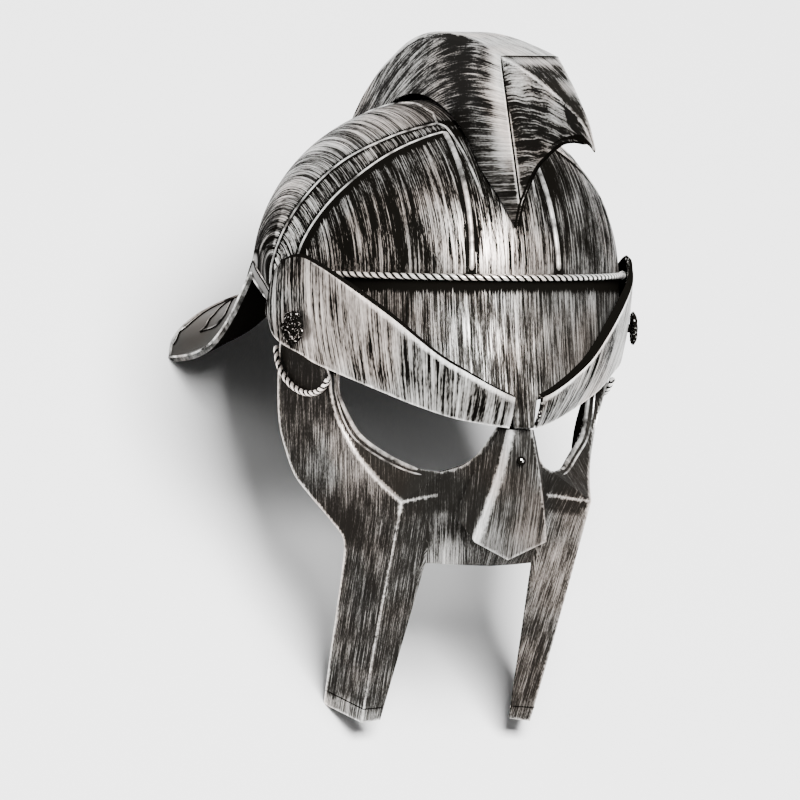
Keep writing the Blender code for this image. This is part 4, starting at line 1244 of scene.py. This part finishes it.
# Camera and light.
VIEW_DIRECTION = (-0.3827, 0.9239, 0.0)
VIEW_AIM = (-27.1, -11.2, -33.5)
VIEW_DISTANCE = 6.0
VIEW_LENS = 580.5
WORLD_LIGHT = 0.20
FLOOR_REACH = 12.0
LIGHT_COLUMNS = ("name", "side", "forward", "up", "distance", "size", "power")
LIGHTS = (
    ("key", -0.02, 0.90, 0.46, 2.6, 1.3, 335.0),
    ("fill", -0.80, 0.30, 0.60, 3.6, 2.4, 30.0),
)


def shell_direction(direction):
    return (STAND.to_3x3() @ Vector((direction[0], -direction[1], direction[2]))).normalized()


def build_camera():
    camera_data = bpy.data.cameras.new("camera")
    camera_data.lens = VIEW_LENS
    camera_data.clip_end = 60.0
    camera = linked("camera", camera_data)
    back = shell_direction(VIEW_DIRECTION)
    up = shell_direction((0.0, 0.0, 1.0))
    turn = Matrix((up.cross(back).normalized(), up, back)).transposed().to_4x4()
    camera.matrix_world = Matrix.Translation(to_frame(VIEW_AIM) + back * VIEW_DISTANCE) @ turn
    bpy.context.scene.camera = camera


def build_light(name, side, forward, up, distance, size, power):
    light_data = bpy.data.lights.new(name, "AREA")
    light_data.shape = "SQUARE"
    light_data.size = size
    light_data.energy = power
    light = linked(name, light_data)
    toward = shell_direction((side, forward, up))
    light.location = to_frame((0.0, 0.0, 0.0)) + toward * distance
    light.rotation_euler = toward.to_track_quat("Z", "Y").to_euler()


def build_stage():
    corners = [(x * FLOOR_REACH, y * FLOOR_REACH, 0) for x, y in ((-1, -1), (1, -1), (1, 1), (-1, 1))]
    mesh = bpy.data.meshes.new("floor")
    mesh.from_pydata(corners, [], [(0, 1, 2, 3)])
    mesh.materials.append(plain_material("pale_floor", (0.9, 0.9, 0.9), 0.9))
    floor = linked("floor", mesh)
    world = bpy.data.worlds.new("studio")
    bpy.context.scene.world = world
    world.use_nodes = True
    background = world.node_tree.nodes["Background"]
    background.inputs["Color"].default_value = (1.0, 1.0, 1.0, 1.0)
    background.inputs["Strength"].default_value = WORLD_LIGHT


def build_all():
    silver = brushed_material("brushed_silver", 0.03, 0.41)
    band = brushed_material("band_silver", 0.06, 0.66)
    soft = brushed_material("soft_silver", 0.14, 0.66, haze=0.10, blotches=0.6)
    swept = brushed_material("swept_silver", 0.07, 0.72, haze=0.05)
    rim = touched_material("worn_edge", 0.56, 0.66, even=0.5)
    lip = touched_material("guard_edge", 0.30, 0.90, wear=0.5, even=0.5, size=4.0)
    ridge = touched_material("bright_ridge", 0.30, 0.66, wear=0.8, size=9.0)
    rope = touched_material("rope_silver", 0.66, 0.80, wear=0.3)
    arc = touched_material("arc_silver", 0.62, 0.80, wear=0.9)
    flower = touched_material("rosette_black", 0.60, 0.72)
    black = plain_material("black_plastic", BLACK, 0.42)
    build_skull([silver, lip, black, ridge])
    build_rope_band(rope)
    build_crest([swept, rim, black, ridge])
    for side in (-1, 1):
        build_brow_band(side, [band, rim, black, ridge])
        build_temple_rivet(side, flower)
        build_temple_rope(side, arc)
    build_face_mask([soft, rim, black, ridge])
    build_nasal([soft, rim, black, ridge])
    build_nasal_rivet(flower)
    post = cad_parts["crest_post"]
    post.material_slots[0].material = touched_material("post_black", 0.60, 0.72, even=0.42)
    build_stage()
    for light in named(LIGHTS, LIGHT_COLUMNS):
        build_light(**light)
    build_camera()


# Lines that the strokes, coats, margins and edges measure from: the side ridges, an arch's edge, the crest's folds.
SIDE_LINES = (
    Line(ridge_path(((0.0, 53.5),) + SIDE_RIDGE_FRONT + ((78.0, -16.0),), 10)),
    Line(ridge_path(((0.0, 57.5),) + SIDE_RIDGE_REAR + ((91.0, -24.0),), 10)),
)
ARCH_EDGE = Line(picked(SKULL_EDGE, SKULL_EDGE_COLUMNS, "side", "forward", "up")[9:17])
CREST_LINES = (
    Line(CREST_FOLD[:2]),
    Line(picked(CREST, CREST_COLUMNS, "top_half", "top_forward", "top_up")[:CREST_FOLD_ROW]),
)
build_all()
